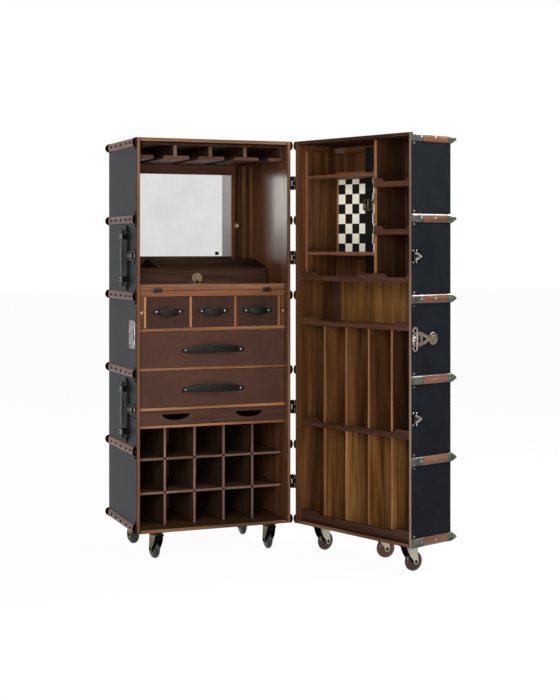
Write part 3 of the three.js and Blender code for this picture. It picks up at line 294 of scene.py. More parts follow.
RESIN_RED = resin("red_brown_resin", (0.068, 0.022, 0.011), (0.130, 0.046, 0.024))

SQUARE, SQUARES, BOARD_EDGE = 39, 8, 11
BOARD_SIZE = SQUARE * SQUARES + 2 * BOARD_EDGE
BOARD_LEFT = INNER_LEFT + SEAT + 13 + (370 - BOARD_SIZE) / 2
BOARD_BOTTOM = 1049


def board_squares():
    """Cream and black squares, painted on wood."""
    made, tree, shader = start("game_squares", (0.7, 0.68, 0.55), 0.4, Specular_IOR_Level=0.3)
    place = node(tree, "TexCoord").outputs["Object"]
    lift = 0.4 * SQUARE * MM
    origin = (-(BOARD_LEFT + BOARD_EDGE) * MM, lift, -(BOARD_BOTTOM + BOARD_EDGE) * MM)
    for operation, vector in (("ADD", origin), ("MULTIPLY", (1, 0, 1)), ("ADD", (0, lift, 0))):
        place = node(tree, "VectorMath", {0: place, 1: vector}, operation=operation).outputs[0]
    checks = node(tree, "TexChecker", {"Vector": place, "Color1": (1.0, 0.98, 0.84, 1),
                                       "Color2": (0.006, 0.0055, 0.005, 1), "Scale": 1 / (SQUARE * MM)})
    grain = noise(tree, coordinates(tree, (1, 1, 0.05)), 300, 4)
    speck = ramp(tree, grain, [(0.3, (0.93, 0.92, 0.90)), (0.7, WHITE)])
    surface(tree, shader, shade(tree, checks.outputs["Color"], speck, 1.0), spread(tree, grain, 0.34, 0.5),
            grain, 0.15, 0.0003)
    return made


SQUARES_PAINT = board_squares()


# Mesh building

AXES = {"x": Vector((1, 0, 0)), "y": Vector((0, 1, 0)), "z": Vector((0, 0, 1))}


def box_corner(axis, side, p, q):
    """A box's corner, by its side along an axis and its sides along the next two."""
    at = [side, p, q]
    return tuple(at[(i - axis) % 3] for i in range(3))


def full_turn(steps):
    return [TURN * k / steps for k in range(steps)]


class Build:
    """A mesh in one local frame, given in millimetres, with as many materials as it needs. A material may be
    a wood's tone and its grain's axis, as in "warm x"."""

    def __init__(self, name, place=MAIN):
        self.name, self.place = name, place
        self.bm = bmesh.new()
        self.materials = []

    def index(self, material):
        if isinstance(material, str):
            material = wood(*material.split())
        if material not in self.materials:
            self.materials.append(material)
        return self.materials.index(material)

    def vertex(self, point):
        return self.bm.verts.new(Vector(point) * MM)

    def face(self, verts, material):
        made = self.bm.faces.new(verts)
        made.material_index = self.index(material)

    def skin(self, one, two, material, closed=True):
        """Faces between two rings, or between two open rows of points."""
        count = len(one)
        for i in range(count if closed else count - 1):
            j = (i + 1) % count
            self.face([one[i], one[j], two[j], two[i]], material)

    def block(self, x, y, z, material, edge=0.8, sides=None):
        """A box with chamfered edges. x, y and z are spans; sides has other materials, as in {"-y": IRON}."""
        spans = [sorted(span) for span in (x, y, z)]
        edge = min(edge, *(0.45 * (high - low) for low, high in spans))
        verts = {}
        for corner in product((0, 1), repeat=3):
            for axis in range(3):
                at = [span[side] for span, side in zip(spans, corner)]
                for i in range(3):
                    if i != axis:
                        at[i] += -edge if corner[i] else edge
                verts[corner, axis] = self.vertex(at)
        for axis in range(3):
            a, b = (axis + 1) % 3, (axis + 2) % 3
            for side in (0, 1):
                own = (sides or {}).get("-+"[side] + "xyz"[axis], material)
                ring = [box_corner(axis, side, p, q) for p, q in ((0, 0), (1, 0), (1, 1), (0, 1))]
                self.face([verts[corner, axis] for corner in ring], own)
            for p, q in product((0, 1), repeat=2):
                one, two = [box_corner(axis, side, p, q) for side in (0, 1)]
                self.face([verts[one, a], verts[two, a], verts[two, b], verts[one, b]], material)
        for corner in product((0, 1), repeat=3):
            self.face([verts[corner, axis] for axis in range(3)], material)

    def loft(self, rings, material):
        """Skin over rings of points, each a closed loop, with a cap on either end."""
        made = [[self.vertex(p) for p in ring] for ring in rings]
        for one, two in zip(made, made[1:]):
            self.skin(one, two, material)
        self.face(made[0], material)
        self.face(made[-1], material)

    def lathe(self, profile, origin, axis, material, sides=32):
        """Turns a profile of (radius, along) about an axis through origin. It starts and ends on the axis, or
        else closes on itself."""
        d, u = AXES[axis], AXES["y" if axis == "x" else "x"]
        v, foot = d.cross(u), Vector(origin)
        solid = abs(profile[0][0]) < 1e-6 and abs(profile[-1][0]) < 1e-6
        tips = [self.vertex(foot + d * profile[i][1]) for i in (0, -1)] if solid else []
        made, free = [], profile[1:-1] if solid else profile
        for t in full_turn(sides):
            out = u * math.cos(t) + v * math.sin(t)
            made.append([self.vertex(foot + out * r + d * h) for r, h in free])
        for one, two in zip(made, made[1:] + made[:1]):
            if solid:
                self.face([tips[0], one[0], two[0]], material)
                self.face([tips[1], two[-1], one[-1]], material)
            self.skin(one, two, material, not solid)

    def dome(self, centre, axis, radius, height, material, sides=16, out=1):
        """A nail's domed head on a surface, with its foot a little way in."""
        turns = [math.pi / 10 * i for i in range(5)]
        curve = [(radius * math.cos(t), out * height * math.sin(t)) for t in turns]
        self.lathe([(0, -out), (radius, -out)] + curve + [(0, out * height)], centre, axis, material, sides)

    def rod(self, axis, radius, low, high, centre, material, sides=24, edge=0.4):
        """A cylinder with chamfered ends, along an axis from low to high; centre is on the other two axes."""
        origin = list(centre)
        origin.insert("xyz".index(axis), 0)
        self.lathe([(0, low), (radius - edge, low), (radius, low + edge), (radius, high - edge),
                    (radius - edge, high), (0, high)], origin, axis, material, sides)

    def plate(self, outlines, plane, low, high, material, bevel=0.6):
        """A plate with holes: the first outline is its edge and the rest are its holes, drawn in a plane."""
        curve = bpy.data.curves.new("outline", "CURVE")
        curve.dimensions, curve.fill_mode = "2D", "BOTH"
        for outline in outlines:
            spline = curve.splines.new("POLY")
            spline.points.add(len(outline) - 1)
            for point, (a, b) in zip(spline.points, outline):
                point.co = (a * MM, b * MM, 0, 1)
            spline.use_cyclic_u = True
        bevel = min(bevel, 0.4 * (high - low))
        curve.extrude = ((high - low) / 2 - bevel) * MM
        curve.bevel_depth, curve.bevel_resolution, curve.offset = bevel * MM, 1, -bevel * MM
        holder = bpy.data.objects.new("outline", curve)
        bpy.context.scene.collection.objects.link(holder)
        bpy.context.view_layer.update()
        flat = bpy.data.meshes.new_from_object(holder.evaluated_get(bpy.context.evaluated_depsgraph_get()))
        bpy.data.objects.remove(holder)
        bpy.data.curves.remove(curve)
        normal = AXES[min(set("xyz") - set(plane))]
        basis = Matrix([AXES[plane[0]], AXES[plane[1]], normal]).transposed().to_4x4()
        flat.transform(Matrix.Translation(normal * ((low + high) / 2 * MM)) @ basis)
        first = len(self.bm.faces)
        self.bm.from_mesh(flat)
        bpy.data.meshes.remove(flat)
        self.bm.faces.ensure_lookup_table()
        slot = self.index(material)
        for made in self.bm.faces[first:]:
            made.material_index = slot

    def done(self, body, slot, replaces=(), angle=35, weld=False):
        """Makes the object, in its frame, riding on a body."""
        if weld:
            bmesh.ops.remove_doubles(self.bm, verts=self.bm.verts, dist=1e-6)
        bmesh.ops.recalc_face_normals(self.bm, faces=self.bm.faces)
        mesh = bpy.data.meshes.new(self.name)
        self.bm.to_mesh(mesh)
        self.bm.free()
        for material in self.materials:
            mesh.materials.append(material)
        mesh.shade_smooth()
        mesh.set_sharp_from_angle(angle=math.radians(angle))
        made = bpy.data.objects.new(self.name, mesh)
        bpy.context.scene.collection.objects.link(made)
        made.matrix_world = self.place
        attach(made, body)
        if replaces:
            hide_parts(*replaces)


def around(centre, size):
    return (centre - size / 2, centre + size / 2)


def arc(cx, cy, rx, ry, start_at, end_at, steps):
    """Points on an ellipse's arc; angles in degrees."""
    turns = [math.radians(start_at + (end_at - start_at) * i / steps) for i in range(steps + 1)]
    return [(cx + rx * math.cos(t), cy + ry * math.sin(t)) for t in turns]


def circle(cx, cy, radius, steps=24):
    return arc(cx, cy, radius, radius, 0, 360 - 360 / steps, steps - 1)


def rounded(x0, x1, y0, y1, radius, steps=4):
    """A rectangle's outline with rounded corners."""
    points = []
    for cx, cy, turn in ((x1 - radius, y0 + radius, -90), (x1 - radius, y1 - radius, 0),
                         (x0 + radius, y1 - radius, 90), (x0 + radius, y0 + radius, 180)):
        points += arc(cx, cy, radius, radius, turn, turn + 90, steps)
    return points


# Shell of both halves

def shell(prefix, place, depth, body, nodes, rims, inside, bays, cover):
    """Leather-covered panels with wooden front edges and wood inside. rims: left, right, top and bottom
    edges. bays: the rear boards, as (from, to, their tones from left to right)."""
    back = depth - PANEL
    ends = (INNER_LEFT + SEAT, INNER_RIGHT - SEAT)
    builds = []
    for name, x, z, leather_tone, inner, lining, rim in (
        ("side_left", (0, PANEL), (0, HEIGHT), cover, "+x", f"{inside} z", f"{rims[0]} z"),
        ("side_right", (INNER_RIGHT, WIDTH), (0, HEIGHT), cover, "-x", f"{inside} z", f"{rims[1]} z"),
        # The top and floor are painted shade: their linings take the darkest wood and their leather the
        # darkened copy.
        ("top", ends, (CEILING, HEIGHT), SHADED_DULL_SHELL, "-z", "deep x", f"{rims[2]} x"),
        ("floor", ends, (0, FLOOR), SHADED_DULL_SHELL, "+z", "deep x", f"{rims[3]} x"),
    ):
        made = Build(f"{prefix}_{name}", place)
        made.block(x, (0, depth), z, leather_tone, 1.5, {"-y": rim, inner: lining})
        builds.append(made)
    rear = Build(f"{prefix}_back", place)
    for low, high, tones in bays:
        width = (ends[1] - ends[0]) / len(tones)
        for i, tone in enumerate(tones):
            span = (ends[0] + i * width, ends[0] + (i + 1) * width)
            rear.block(span, (back, depth - 4), (low, high), f"{tone} z", 0.9)
    rear.block(ends, (depth - 4.5, depth), (FLOOR + SEAT, CEILING - SEAT), cover, 1.0)
    for build, node_name in zip(builds + [rear], nodes):
        build.done(body, "wood" if build is rear else "shell_leather", (node_name,))


shell("main", MAIN, DEPTH, "main_case",
      ("main_left_panel", "main_right_panel", "main_top_panel", "main_bottom_panel", "main_back_panel"),
      ("rim", "rim", "rim", "rim"), "wall", [(FLOOR + SEAT, CEILING - SEAT, ("warm",) * 5)], SHELL)
# The lid's leather is the darkened copy, painted shade. In its rear bays the lightened boards at the bottom
# and behind the open shelf are painted light, and the darkest board at the top right is painted shade.
shell("lid", LID, LID_DEPTH, "lid",
      ("lid_hinge_panel", "lid_free_panel", "lid_top_panel", "lid_bottom_panel", "lid_back_panel"),
      ("warm", "grey", "deep", "rim"), "warm",
      [(FLOOR + SEAT, 391, ("golden",) * 5), (391, 786, ("warm",) * 5), (786, 960, ("golden",) * 3),
       (960, CEILING - SEAT, ("warm", "warm", "deep"))], SHADED_DULL_SHELL)


def band_section(proud, height, point=0.5):
    """Half-round section: (outward, upward) points, with its root a little way in. point 1 is a ridge."""
    steps, fall = 12, 1 / point if point < 1 else 1
    rise = [math.sin(math.radians(-90 + 180 * i / steps)) for i in range(steps + 1)]
    return ([(proud * (1 - abs(up) ** fall) ** point, height / 2 * up) for up in rise]
            + [(-1, height / 2), (-1, -height / 2)])


def wrap(build, path, z, sections, material):
    """Sections carried round the case: path has (x, y, outward x, outward y) stations."""
    build.loft([[(x + ox * out, y + oy * out, z + up) for out, up in section]
                for (x, y, ox, oy), section in zip(path, sections)], material)


def bands(prefix, place, depth, body, metals, front_length, back_length, corner, nails, nail_size, tone,
          hinge_side):
    """Wooden bands round three faces, metal caps on their ends and corners, and nails. On the hinge side the
    nails and corners are lower, so that the halves clear each other when they lie open side by side."""
    cap_metal, end_metal, nail_metal = metals
    slats, caps, ends, studs = [Build(f"{prefix}_{name}", place)
                                for name in ("bands", "band_caps", "corner_caps", "nails")]
    section = band_section(BAND_PROUD, BAND_HEIGHT)
    sleeve = band_section(BAND_PROUD + 0.9, BAND_HEIGHT + 1.2)
    radius, full_lift = nail_size
    foot = BAND_PROUD - 0.4
    run = [(0, 0.6, -1, 0), (0, depth, -1, 1), (WIDTH, depth, 1, 1), (WIDTH, 0.6, 1, 0)]
    for z in BANDS:
        wrap(slats, run, z, [section] * 4, f"{tone} y")
        for face, out in ((0, -1), (WIDTH, 1)):
            proud, lift, low_lift = (11.5, 2.2, 1.6) if face == hinge_side else (corner[0], full_lift, 2.4)
            ridge = band_section(proud, BAND_HEIGHT + 1.2, corner[1])
            closing = [(face, -0.8, out, 0), (face, 0.4, out, 0), (face, front_length, out, 0)]
            wrap(caps, closing, z, [sleeve] * 3, cap_metal)
            for side in (-1, 1):
                height = z + side * (BAND_HEIGHT / 2 + 7)
                if 8 < height < HEIGHT - 8:
                    studs.dome((face, 13, height), "x", 5.2, 3.6, cap_metal, 14, out)
            turn = [(face, depth - back_length, out, 0), (face, depth - 4, out, 0), (face, depth, out, 1),
                    (face - out * 4, depth, 0, 1), (face - out * back_length, depth, 0, 1)]
            wrap(ends, turn, z, [sleeve, sleeve, ridge, sleeve, sleeve], end_metal)
            studs.dome((face + out * BAND_PROUD, depth - back_length * 0.6, z), "x", 4, low_lift, end_metal,
                       12, out)
            for at in nails:
                studs.dome((face + out * foot, at, z), "x", radius, lift, nail_metal, 14, out)
        for share in (0.12, 0.31, 0.5, 0.69, 0.88):
            studs.dome((WIDTH * share, depth + foot, z), "y", 4.4, 2.6, nail_metal, 12, 1)
    for build, slot in ((slats, "wood"), (caps, "steel"), (ends, "steel"), (studs, "brass")):
        build.done(body, slot)


bands("main", MAIN, DEPTH, "main_case", (IRON, IRON, IRON), 26, 20, (12.5, 0.5),
      (63, 119, 195, 270, 337), (5.2, 3.5), "band", WIDTH)
bands("lid", LID, LID_DEPTH, "lid", (NICKEL, NICKEL, SILVER), 55, 24, (15.5, 0.8),
      (44, 118), (4.8, 2.8), "lid_band", 0)

# Case hinges: a leaf and arm on each half, and knuckles round the axis
HINGE_LENGTH, KNUCKLE, LEAF_LONG = 53, 5, 46
HINGE_X = WIDTH + HINGE_OFFSET


def hinges(name, place, body, face, out, axis_x, axis_y, outer):
    build = Build(name, place)
    near = axis_y + 1 + SEAT
    third = HINGE_LENGTH / 3
    for centre in HINGES:
        low = centre - HINGE_LENGTH / 2
        build.block((face - out * 0.5, face + out * 2.5), (near, near + LEAF_LONG), (low, low + HINGE_LENGTH),
                    IRON, 0.7)
        for i in range(3):
            span = (low + i * third + 0.3, low + (i + 1) * third - 0.3)
            if (i == 1) == outer:
                build.block((face, axis_x - out * 5.9), (near, near + 4.4), span, IRON, 0.5)
                continue
            build.block((face, axis_x), (near, near + 4.4), span, IRON, 0.6)
            build.rod("z", KNUCKLE, *span, (axis_x, axis_y), IRON, 20)
        for at, lift in product((12, 34), (-17, 17)):
            build.dome((face + out * 2.3, near + at, centre + lift), "x", 3.4, 1.6, IRON, 12, out)
        if outer:
            build.rod("z", 2, low - 1.5, low + HINGE_LENGTH + 1.5, (axis_x, axis_y), IRON, 12)
    build.done(body, "steel", weld=True)


hinges("case_hinges_main", MAIN, "main_case", WIDTH, 1, HINGE_X, -1, True)
hinges("case_hinges_lid", LID, "lid", 0, -1, -HINGE_OFFSET, -1, False)


# Boards

FULL = (INNER_LEFT + SEAT, INNER_RIGHT - SEAT)
SHELF_Y = (RECESS, BACK - SEAT)
RACK_TOP, TRAY_FLOOR, TRAY_TOP = 394, 404, 461
LOWER_FLOOR, LOWER_TOP, UPPER_FLOOR, UPPER_TOP = 472, 612, 623, 763
SMALL_FLOOR, SMALL_TOP, COUNTER = 776, 895, 918
DIVIDER, LOPER_WIDE, SMALL_WIDTH = 10, 19, 172 + 1 / 3
DIVIDERS = [INNER_LEFT + LOPER_WIDE + 2 * PLAY + i * (DIVIDER + SMALL_WIDTH) for i in range(4)]
UPRIGHTS = [MIDDLE + (i - 1.5) * 120 for i in range(4)]


def boards(name, replaces, parts, body="main_case"):
    """Boards as (x, y, z, tone, grain axis), or with the tone of the front edge after them."""
    build = Build(name)
    for x, y, z, tone, axis, *front in parts:
        edge = f"{front[0] if front else 'edge'} {axis if axis != 'y' else 'x'}"
        build.block(x, y, z, f"{tone} {axis}", 0.9, {"-y": edge})
    build.done(body, "wood", replaces)


def main_shelf(low, high, front="shelf", y=SHELF_Y, tone="warm"):
    """The row for boards of a shelf as wide as the main case."""
    return (FULL, y, (low, high), tone, "x", front)


boards("counter_board", ("counter_shelf",), [main_shelf(COUNTER - 23, COUNTER)])
boards("drawer_rack_boards", ("drawer_rack",),
       [main_shelf(SMALL_FLOOR - 13, SMALL_FLOOR)]
       + [((x, x + DIVIDER), SHELF_Y, (SMALL_FLOOR, SMALL_TOP - SEAT), "warm", "z") for x in DIVIDERS])
boards("upper_drawer_board", ("drawer_shelf_upper",), [main_shelf(UPPER_FLOOR - 11, UPPER_FLOOR)])
TRAY_DIVIDER_Y = (RECESS + 15, BACK - SEAT)
boards("lower_drawer_board", ("drawer_shelf_lower",),
       [main_shelf(LOWER_FLOOR - 11, LOWER_FLOOR, "edge"),
        (around(MIDDLE, DIVIDER), TRAY_DIVIDER_Y, (TRAY_FLOOR + SEAT, TRAY_TOP), "lip", "z", "lip")])
RACK_Y = (74, BACK - SEAT)
boards("rack_boards", ("rack_frame",),
       [main_shelf(RACK_TOP, TRAY_FLOOR, "edge")]
       + [(around(x, DIVIDER), RACK_Y, (FLOOR + SEAT, RACK_TOP), "dark", "z", "pink") for x in UPRIGHTS])
for name, bottom in (("rack_shelf_lower", 134), ("rack_shelf_upper", 264)):
    boards(f"{name}_board", (name,), [main_shelf(bottom, bottom + DIVIDER, "pink", RACK_Y, "dark")])

# Mirror in its boarded frame
MIRROR_X, MIRROR_Z = (MIDDLE - 204.5, MIDDLE + 204.5), (1047, 1384)
FRAME_Y, FRAME_Z = (BACK - 8, BACK + 0.5), (COUNTER + SEAT, CEILING - SEAT)
STRIPES = ("warm", "deep", "deep", "warm", "deep", "warm")
plank = (FULL[1] - MIRROR_X[1]) / len(STRIPES)
boards("mirror_frame", (),
       [((FULL[0], MIRROR_X[0]), FRAME_Y, FRAME_Z, "dark", "z", "dark"),
        (MIRROR_X, FRAME_Y, (FRAME_Z[0], MIRROR_Z[0]), "dark", "x", "dark"),
        (MIRROR_X, FRAME_Y, (MIRROR_Z[1], FRAME_Z[1]), "warm", "x", "lip")]
       + [((MIRROR_X[1] + i * plank, MIRROR_X[1] + (i + 1) * plank), FRAME_Y, FRAME_Z, tone, "z", tone)
          for i, tone in enumerate(STRIPES)])
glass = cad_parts["mirror"].data.materials
glass.clear()
glass.append(MIRROR)
BEVEL_Y, BEVEL_EDGE, BEVEL_WIDE = (BACK - 3, BACK + 0.5), 0.5, 4
outer_x, outer_z = [(low + BEVEL_EDGE, high - BEVEL_EDGE) for low, high in (MIRROR_X, MIRROR_Z)]
inner_x, inner_z = [(low + BEVEL_WIDE, high - BEVEL_WIDE) for low, high in (outer_x, outer_z)]
bevel = Build("mirror_bevel")
for x in ((outer_x[0], inner_x[0]), (inner_x[1], outer_x[1])):
    bevel.block(x, BEVEL_Y, outer_z, BEVEL, 1.5)
for z in ((outer_z[0], inner_z[0]), (inner_z[1], outer_z[1])):
    bevel.block(inner_x, BEVEL_Y, z, BEVEL, 1.5)
bevel.done("main_case", "mirror")
knob = Build("mirror_knob")
knob.lathe([(0, 1), (11, 1), (11, -1), (5, -2), (4.5, -6), (8, -9), (9.5, -13), (8, -17), (4, -19),
            (0, -19.5)], (542, FRAME_Y[0], 1174), "y", BRASS, 24)
knob.done("main_case", "brass", weld=True)
details = Build("mirror_clip_and_holes")
details.plate([rounded(448, 461, 1052, 1066, 3)], "xz", FRAME_Y[0] - 2, FRAME_Y[0] + 1, IRON, 0.5)
for y in (121, 187):
    details.dome((INNER_RIGHT, y, 1130), "x", 4, 0.9, IRON, 14, -1)
details.done("main_case", "steel", weld=True)

# Stemware rack: flanges on webs that hang from a board under the ceiling
RAIL_Y, RAIL_Z = (43, FRAME_Y[0] - SEAT), (1423, 1437)
WEB, WEB_TOP, FLANGE_SIDES = 15, CEILING - 8, {"-y": "lip x", "-z": "tray y"}
rails = Build("stemware_rails")
rails.block(FULL, RAIL_Y, (CEILING - 9, CEILING - SEAT), "dark y")
for x in (MIDDLE - 143.5, MIDDLE, MIDDLE + 143.5):
    rails.block(around(x, 105), RAIL_Y, RAIL_Z, "dark y", 1.2, FLANGE_SIDES)
    rails.block(around(x, WEB), (RAIL_Y[0] + 15, RAIL_Y[1]), (RAIL_Z[1], WEB_TOP), "dark y",
                sides={"-y": "pink z"})
for wall, inward in ((INNER_LEFT, 1), (INNER_RIGHT, -1)):
    near = wall + inward * SEAT
    rails.block((near, wall + inward * 65), RAIL_Y, RAIL_Z, "dark y", 1.2, FLANGE_SIDES)
    rails.block((near, wall + inward * WEB), RAIL_Y, (RAIL_Z[1], WEB_TOP), "dark y")
rails.done("main_case", "dark_wood", ("stemware_rack",))

# Serving box, its sloping lid and brass disc
BOX_X, BOX_Y, BOX_Z = (29, 598), (187, 382), (COUNTER + SEAT, COUNTER + SEAT + 84)
WALL, WELL_RIGHT, SLOPE_BACK, RIDGE = 9, 148, 325, BOX_Z[1] + 34
INNER_X, INNER_Y = (BOX_X[0] + WALL, BOX_X[1] - WALL), (BOX_Y[0] + WALL, BOX_Y[1] - WALL)
box = Build("serving_box_body")
for x, y, z, material, edge in (
    (BOX_X, (BOX_Y[0], INNER_Y[0]), (BOX_Z[0], BOX_Z[1] - 8.3), "dark x", 1),
    ((BOX_X[0], WELL_RIGHT - WALL), (BOX_Y[0], INNER_Y[0]), (BOX_Z[1] - 12, BOX_Z[1]), "dark x", 1),
    ((BOX_X[0], INNER_X[0]), (INNER_Y[0], BOX_Y[1]), BOX_Z, "dark y", 1),
    ((WELL_RIGHT - WALL, WELL_RIGHT), INNER_Y, (BOX_Z[0], BOX_Z[1] - WALL), "dark y", 1),
    ((INNER_X[0], BOX_X[1]), (INNER_Y[1], BOX_Y[1]), BOX_Z, "dark x", 1),
    # The back board behind the sloping lid takes the darkened dark wood, painted shade.
    ((WELL_RIGHT, BOX_X[1]), (SLOPE_BACK + SEAT, BOX_Y[1]), (RIDGE - WALL, RIDGE), "box x", 1),
    ((WELL_RIGHT, BOX_X[1]), (INNER_Y[1], BOX_Y[1]), (BOX_Z[1], RIDGE - WALL), "dark x", 0.8),
    (INNER_X, INNER_Y, (BOX_Z[0], BOX_Z[0] + WALL), "dark x", 0.5),
):
    box.block(x, y, z, material, edge)
cheek = [(INNER_Y[0], BOX_Z[0]), (INNER_Y[1], BOX_Z[0]), (INNER_Y[1], RIDGE - 9), (SLOPE_BACK, RIDGE - 8.6),
         (INNER_Y[0], BOX_Z[1] - 6.4)]
box.plate([cheek], "yz", INNER_X[1], BOX_X[1], "dark y")
box.plate([[(y, max(z, BOX_Z[1] - 20)) for y, z in cheek]], "yz", WELL_RIGHT - WALL, WELL_RIGHT, "dark y")
box.done("main_case", "dark_wood", ("serving_box",))
slope = Build("box_lid_board")
lid_edge = [(BOX_Y[0], BOX_Z[1] - 8), (SLOPE_BACK - SEAT, RIDGE - 8), (SLOPE_BACK - SEAT, RIDGE),
            (BOX_Y[0], BOX_Z[1])]
# The sloping lid takes the darkened dark wood, painted shade.
slope.plate([lid_edge], "yz", WELL_RIGHT - 8 + SEAT, BOX_X[1], "box x", 0.8)
slope.done("box_lid", "dark_wood", ("box_lid",), weld=True)
disc = Build("box_disc")
DISC_X, DISC_Z = MIDDLE - 12, BOX_Z[0] + 43
disc.lathe([(0, 1), (22, 1), (22, -1.6), (20.5, -3), (18, -3), (17, -2), (12, -2), (11, -2.9), (9, -2.9),
            (8, -2.2), (4, -2.4), (3, -3.8), (0, -4)], (DISC_X, BOX_Y[0], DISC_Z), "y", BRASS, 40)
notch = arc(DISC_X, DISC_Z - 13, 5, 5, 0, 180, 10) + [(DISC_X - 8, DISC_Z - 25), (DISC_X + 8, DISC_Z - 25)]
disc.plate([notch], "xz", BOX_Y[0] - 4.6, BOX_Y[0] - 1, IRON)
disc.done("main_case", "brass")

# Fold-out leaf, its hinges, and the pull-out supports
LEAF_Z = (COUNTER + PLAY, COUNTER + PLAY + 23)
DRAWER_BACK, FRONT_BACK = BACK - 8, RECESS + 14
boards("leaf_board", ("bar_leaf",),
       [((INNER_LEFT + PLAY, INNER_RIGHT - PLAY), (RECESS, RECESS + 160), LEAF_Z, "warm", "x", "shelf")],
       body="bar_leaf")
for name, body, spans, plate_z in (
    ("leaf_hinges_case", "main_case", ((-17, -5.3), (5.3, 17)), (COUNTER - 9, COUNTER)),
    ("leaf_hinges_leaf", "bar_leaf", ((-4.7, 4.7),), (COUNTER + 1, COUNTER + 9.5)),
):
    build = Build(name)
    for centre in (91, WIDTH - 91):
        build.block(around(centre, 34), (RECESS - 1.6, RECESS + 0.5), plate_z, BRONZE, 0.4)
        for low, high in spans:
            build.rod("x", 2.2, centre + low, centre + high, (22.5, COUNTER + 0.5), BRONZE, 14, 0.3)
    build.done(body, "brass")
for name, left in (("left_loper", INNER_LEFT + PLAY), ("right_loper", INNER_RIGHT - PLAY - LOPER_WIDE)):
    build = Build(f"{name}_board")
    build.block((left, left + LOPER_WIDE), (RECESS, DRAWER_BACK), (SMALL_FLOOR + SEAT, SMALL_TOP - 0.5),
                "warm y", 1, {"-y": "warm z"})
    build.lathe([(0, 1), (3, 1), (3, -4), (5.5, -6), (7, -8.5), (6.6, -11), (4, -12), (0, -12.2)],
                (left + LOPER_WIDE / 2, RECESS, SMALL_FLOOR + 59), "y", BRASS, 24)
    build.done(name, "wood", (name,))


# Drawers with leather fronts and bow handles

def bow(build, cx, length, studs, tab_z, belly):
    """A leather bow handle: flat tabs at its ends, and a belly between two heights that stands off."""
    half, steps, tab = length / 2, 44, 10
    rings = []
    for i in range(steps + 1):
        along = -1 + 2 * i / steps
        swell = max(0.0, 1 - (along * half / (studs / 2 - 6)) ** 2) ** 0.75
        end = min(1.0, (half - abs(along) * half) / tab)
        round_off = max(math.sqrt(max(0.0, 1 - (1 - end) ** 2)), 0.1)
        low = (tab_z - tab * round_off) * (1 - swell) + belly[0] * swell
        high = (tab_z + tab * round_off) * (1 - swell) + belly[1] * swell
        thick = 3.0 + 3.0 * swell
        out = 11.5 * swell ** 0.8 + thick / 2
        rings.append([(cx + along * half, RECESS - out + thick / 2 * math.sin(t),
                       (low + high) / 2 + (high - low) / 2 * math.cos(t)) for t in full_turn(14)])
    build.loft(rings, BLACK)


def carcass(build, outer, walls, tone, wall):
    """What a drawer has behind its front: two sides, a rear board and a bottom. outer and walls are spans."""
    inner = (outer[0] + wall, outer[1] - wall)
    for x in ((outer[0], inner[0]), (inner[1], outer[1])):
        build.block(x, (FRONT_BACK, DRAWER_BACK), walls, f"{tone} y")
    build.block(inner, (DRAWER_BACK - wall, DRAWER_BACK), walls, f"{tone} x")
    build.block(inner, (FRONT_BACK, DRAWER_BACK - wall), (walls[0], walls[0] + 6), f"{tone} x", 0.5)


def drawer(name, left, right, bottom, top, length, studs, tab, belly, cover):
    body = Build(f"{name}_front")
    low, high = bottom + SEAT, top - PLAY
    body.block((left + PLAY, right - PLAY), (RECESS, FRONT_BACK), (low, high), "warm x", 1.6, {"-y": cover})
    carcass(body, (left + 2, right - 2), (low, high - 16), "warm", 8)
    body.done(name, "drawer_leather", (name,))
    pull = Build(f"{name}_handle")
    cx, cz = (left + right) / 2, (bottom + top) / 2
    bow(pull, cx, length, studs, cz + tab, (cz + belly[0], cz + belly[1]))
    for side in (-1, 1):
        pull.dome((cx + side * (studs / 2 + 2), RECESS - 2.8, cz + tab), "y", 4.2, 3.4, PINK_STEEL, 16, -1)
    pull.done(name, "black_leather")


# The small drawers take the darkened leather, painted shade.
for divider, side in zip(DIVIDERS, ("left", "middle", "right")):
    left = divider + DIVIDER
    drawer(f"small_drawer_{side}", left, left + SMALL_WIDTH, SMALL_FLOOR, SMALL_TOP, 126, 90, 2, (-14, 17),
           SHADED_SMALL_DRAWER)
for side, low, high in (("upper", UPPER_FLOOR, UPPER_TOP), ("lower", LOWER_FLOOR, LOWER_TOP)):
    drawer(f"large_drawer_{side}", INNER_LEFT, INNER_RIGHT, low, high, 257, 221, -5, (-15, 17), DRAWER)

# Trays with half-moon finger slots, whose fronts meet before the divider
for name, side, wall_x in (("tray_left", -1, INNER_LEFT), ("tray_right", 1, INNER_RIGHT)):
    build = Build(f"{name}_body")
    low, high = TRAY_FLOOR + SEAT, TRAY_TOP - PLAY
    x0, x1 = sorted((MIDDLE + side * PLAY, wall_x - side * PLAY))
    slot = arc((MIDDLE + wall_x) / 2, high - 14, 55.5, 24, 180, 360, 28)
    build.plate([[(x0, low), (x1, low), (x1, high), (x0, high)], slot], "xz", RECESS, FRONT_BACK, "tray x", 1)
    outer = sorted((MIDDLE + side * (DIVIDER / 2 + PLAY), wall_x - side * PLAY))
    carcass(build, outer, (low, high), "deep", 7)
    build.done(name, "wood", (name,))

# Carry handles on the outer side: a strap on the face, the grip that arches over it, and metal keepers
CARRY_Y, CARRY_HALF, CARRY_OUT, CARRY_END = 134, 119, 23, 13


def squared_arch(half, rise, steps):
    """(along, out) on half of a squared-off ellipse."""
    turns = [math.radians(-90 + 180 * i / steps) for i in range(steps + 1)]
    return [(half * math.copysign(abs(math.sin(t)) ** (2 / 3), t), rise * max(math.cos(t), 0) ** (2 / 3))
            for t in turns]


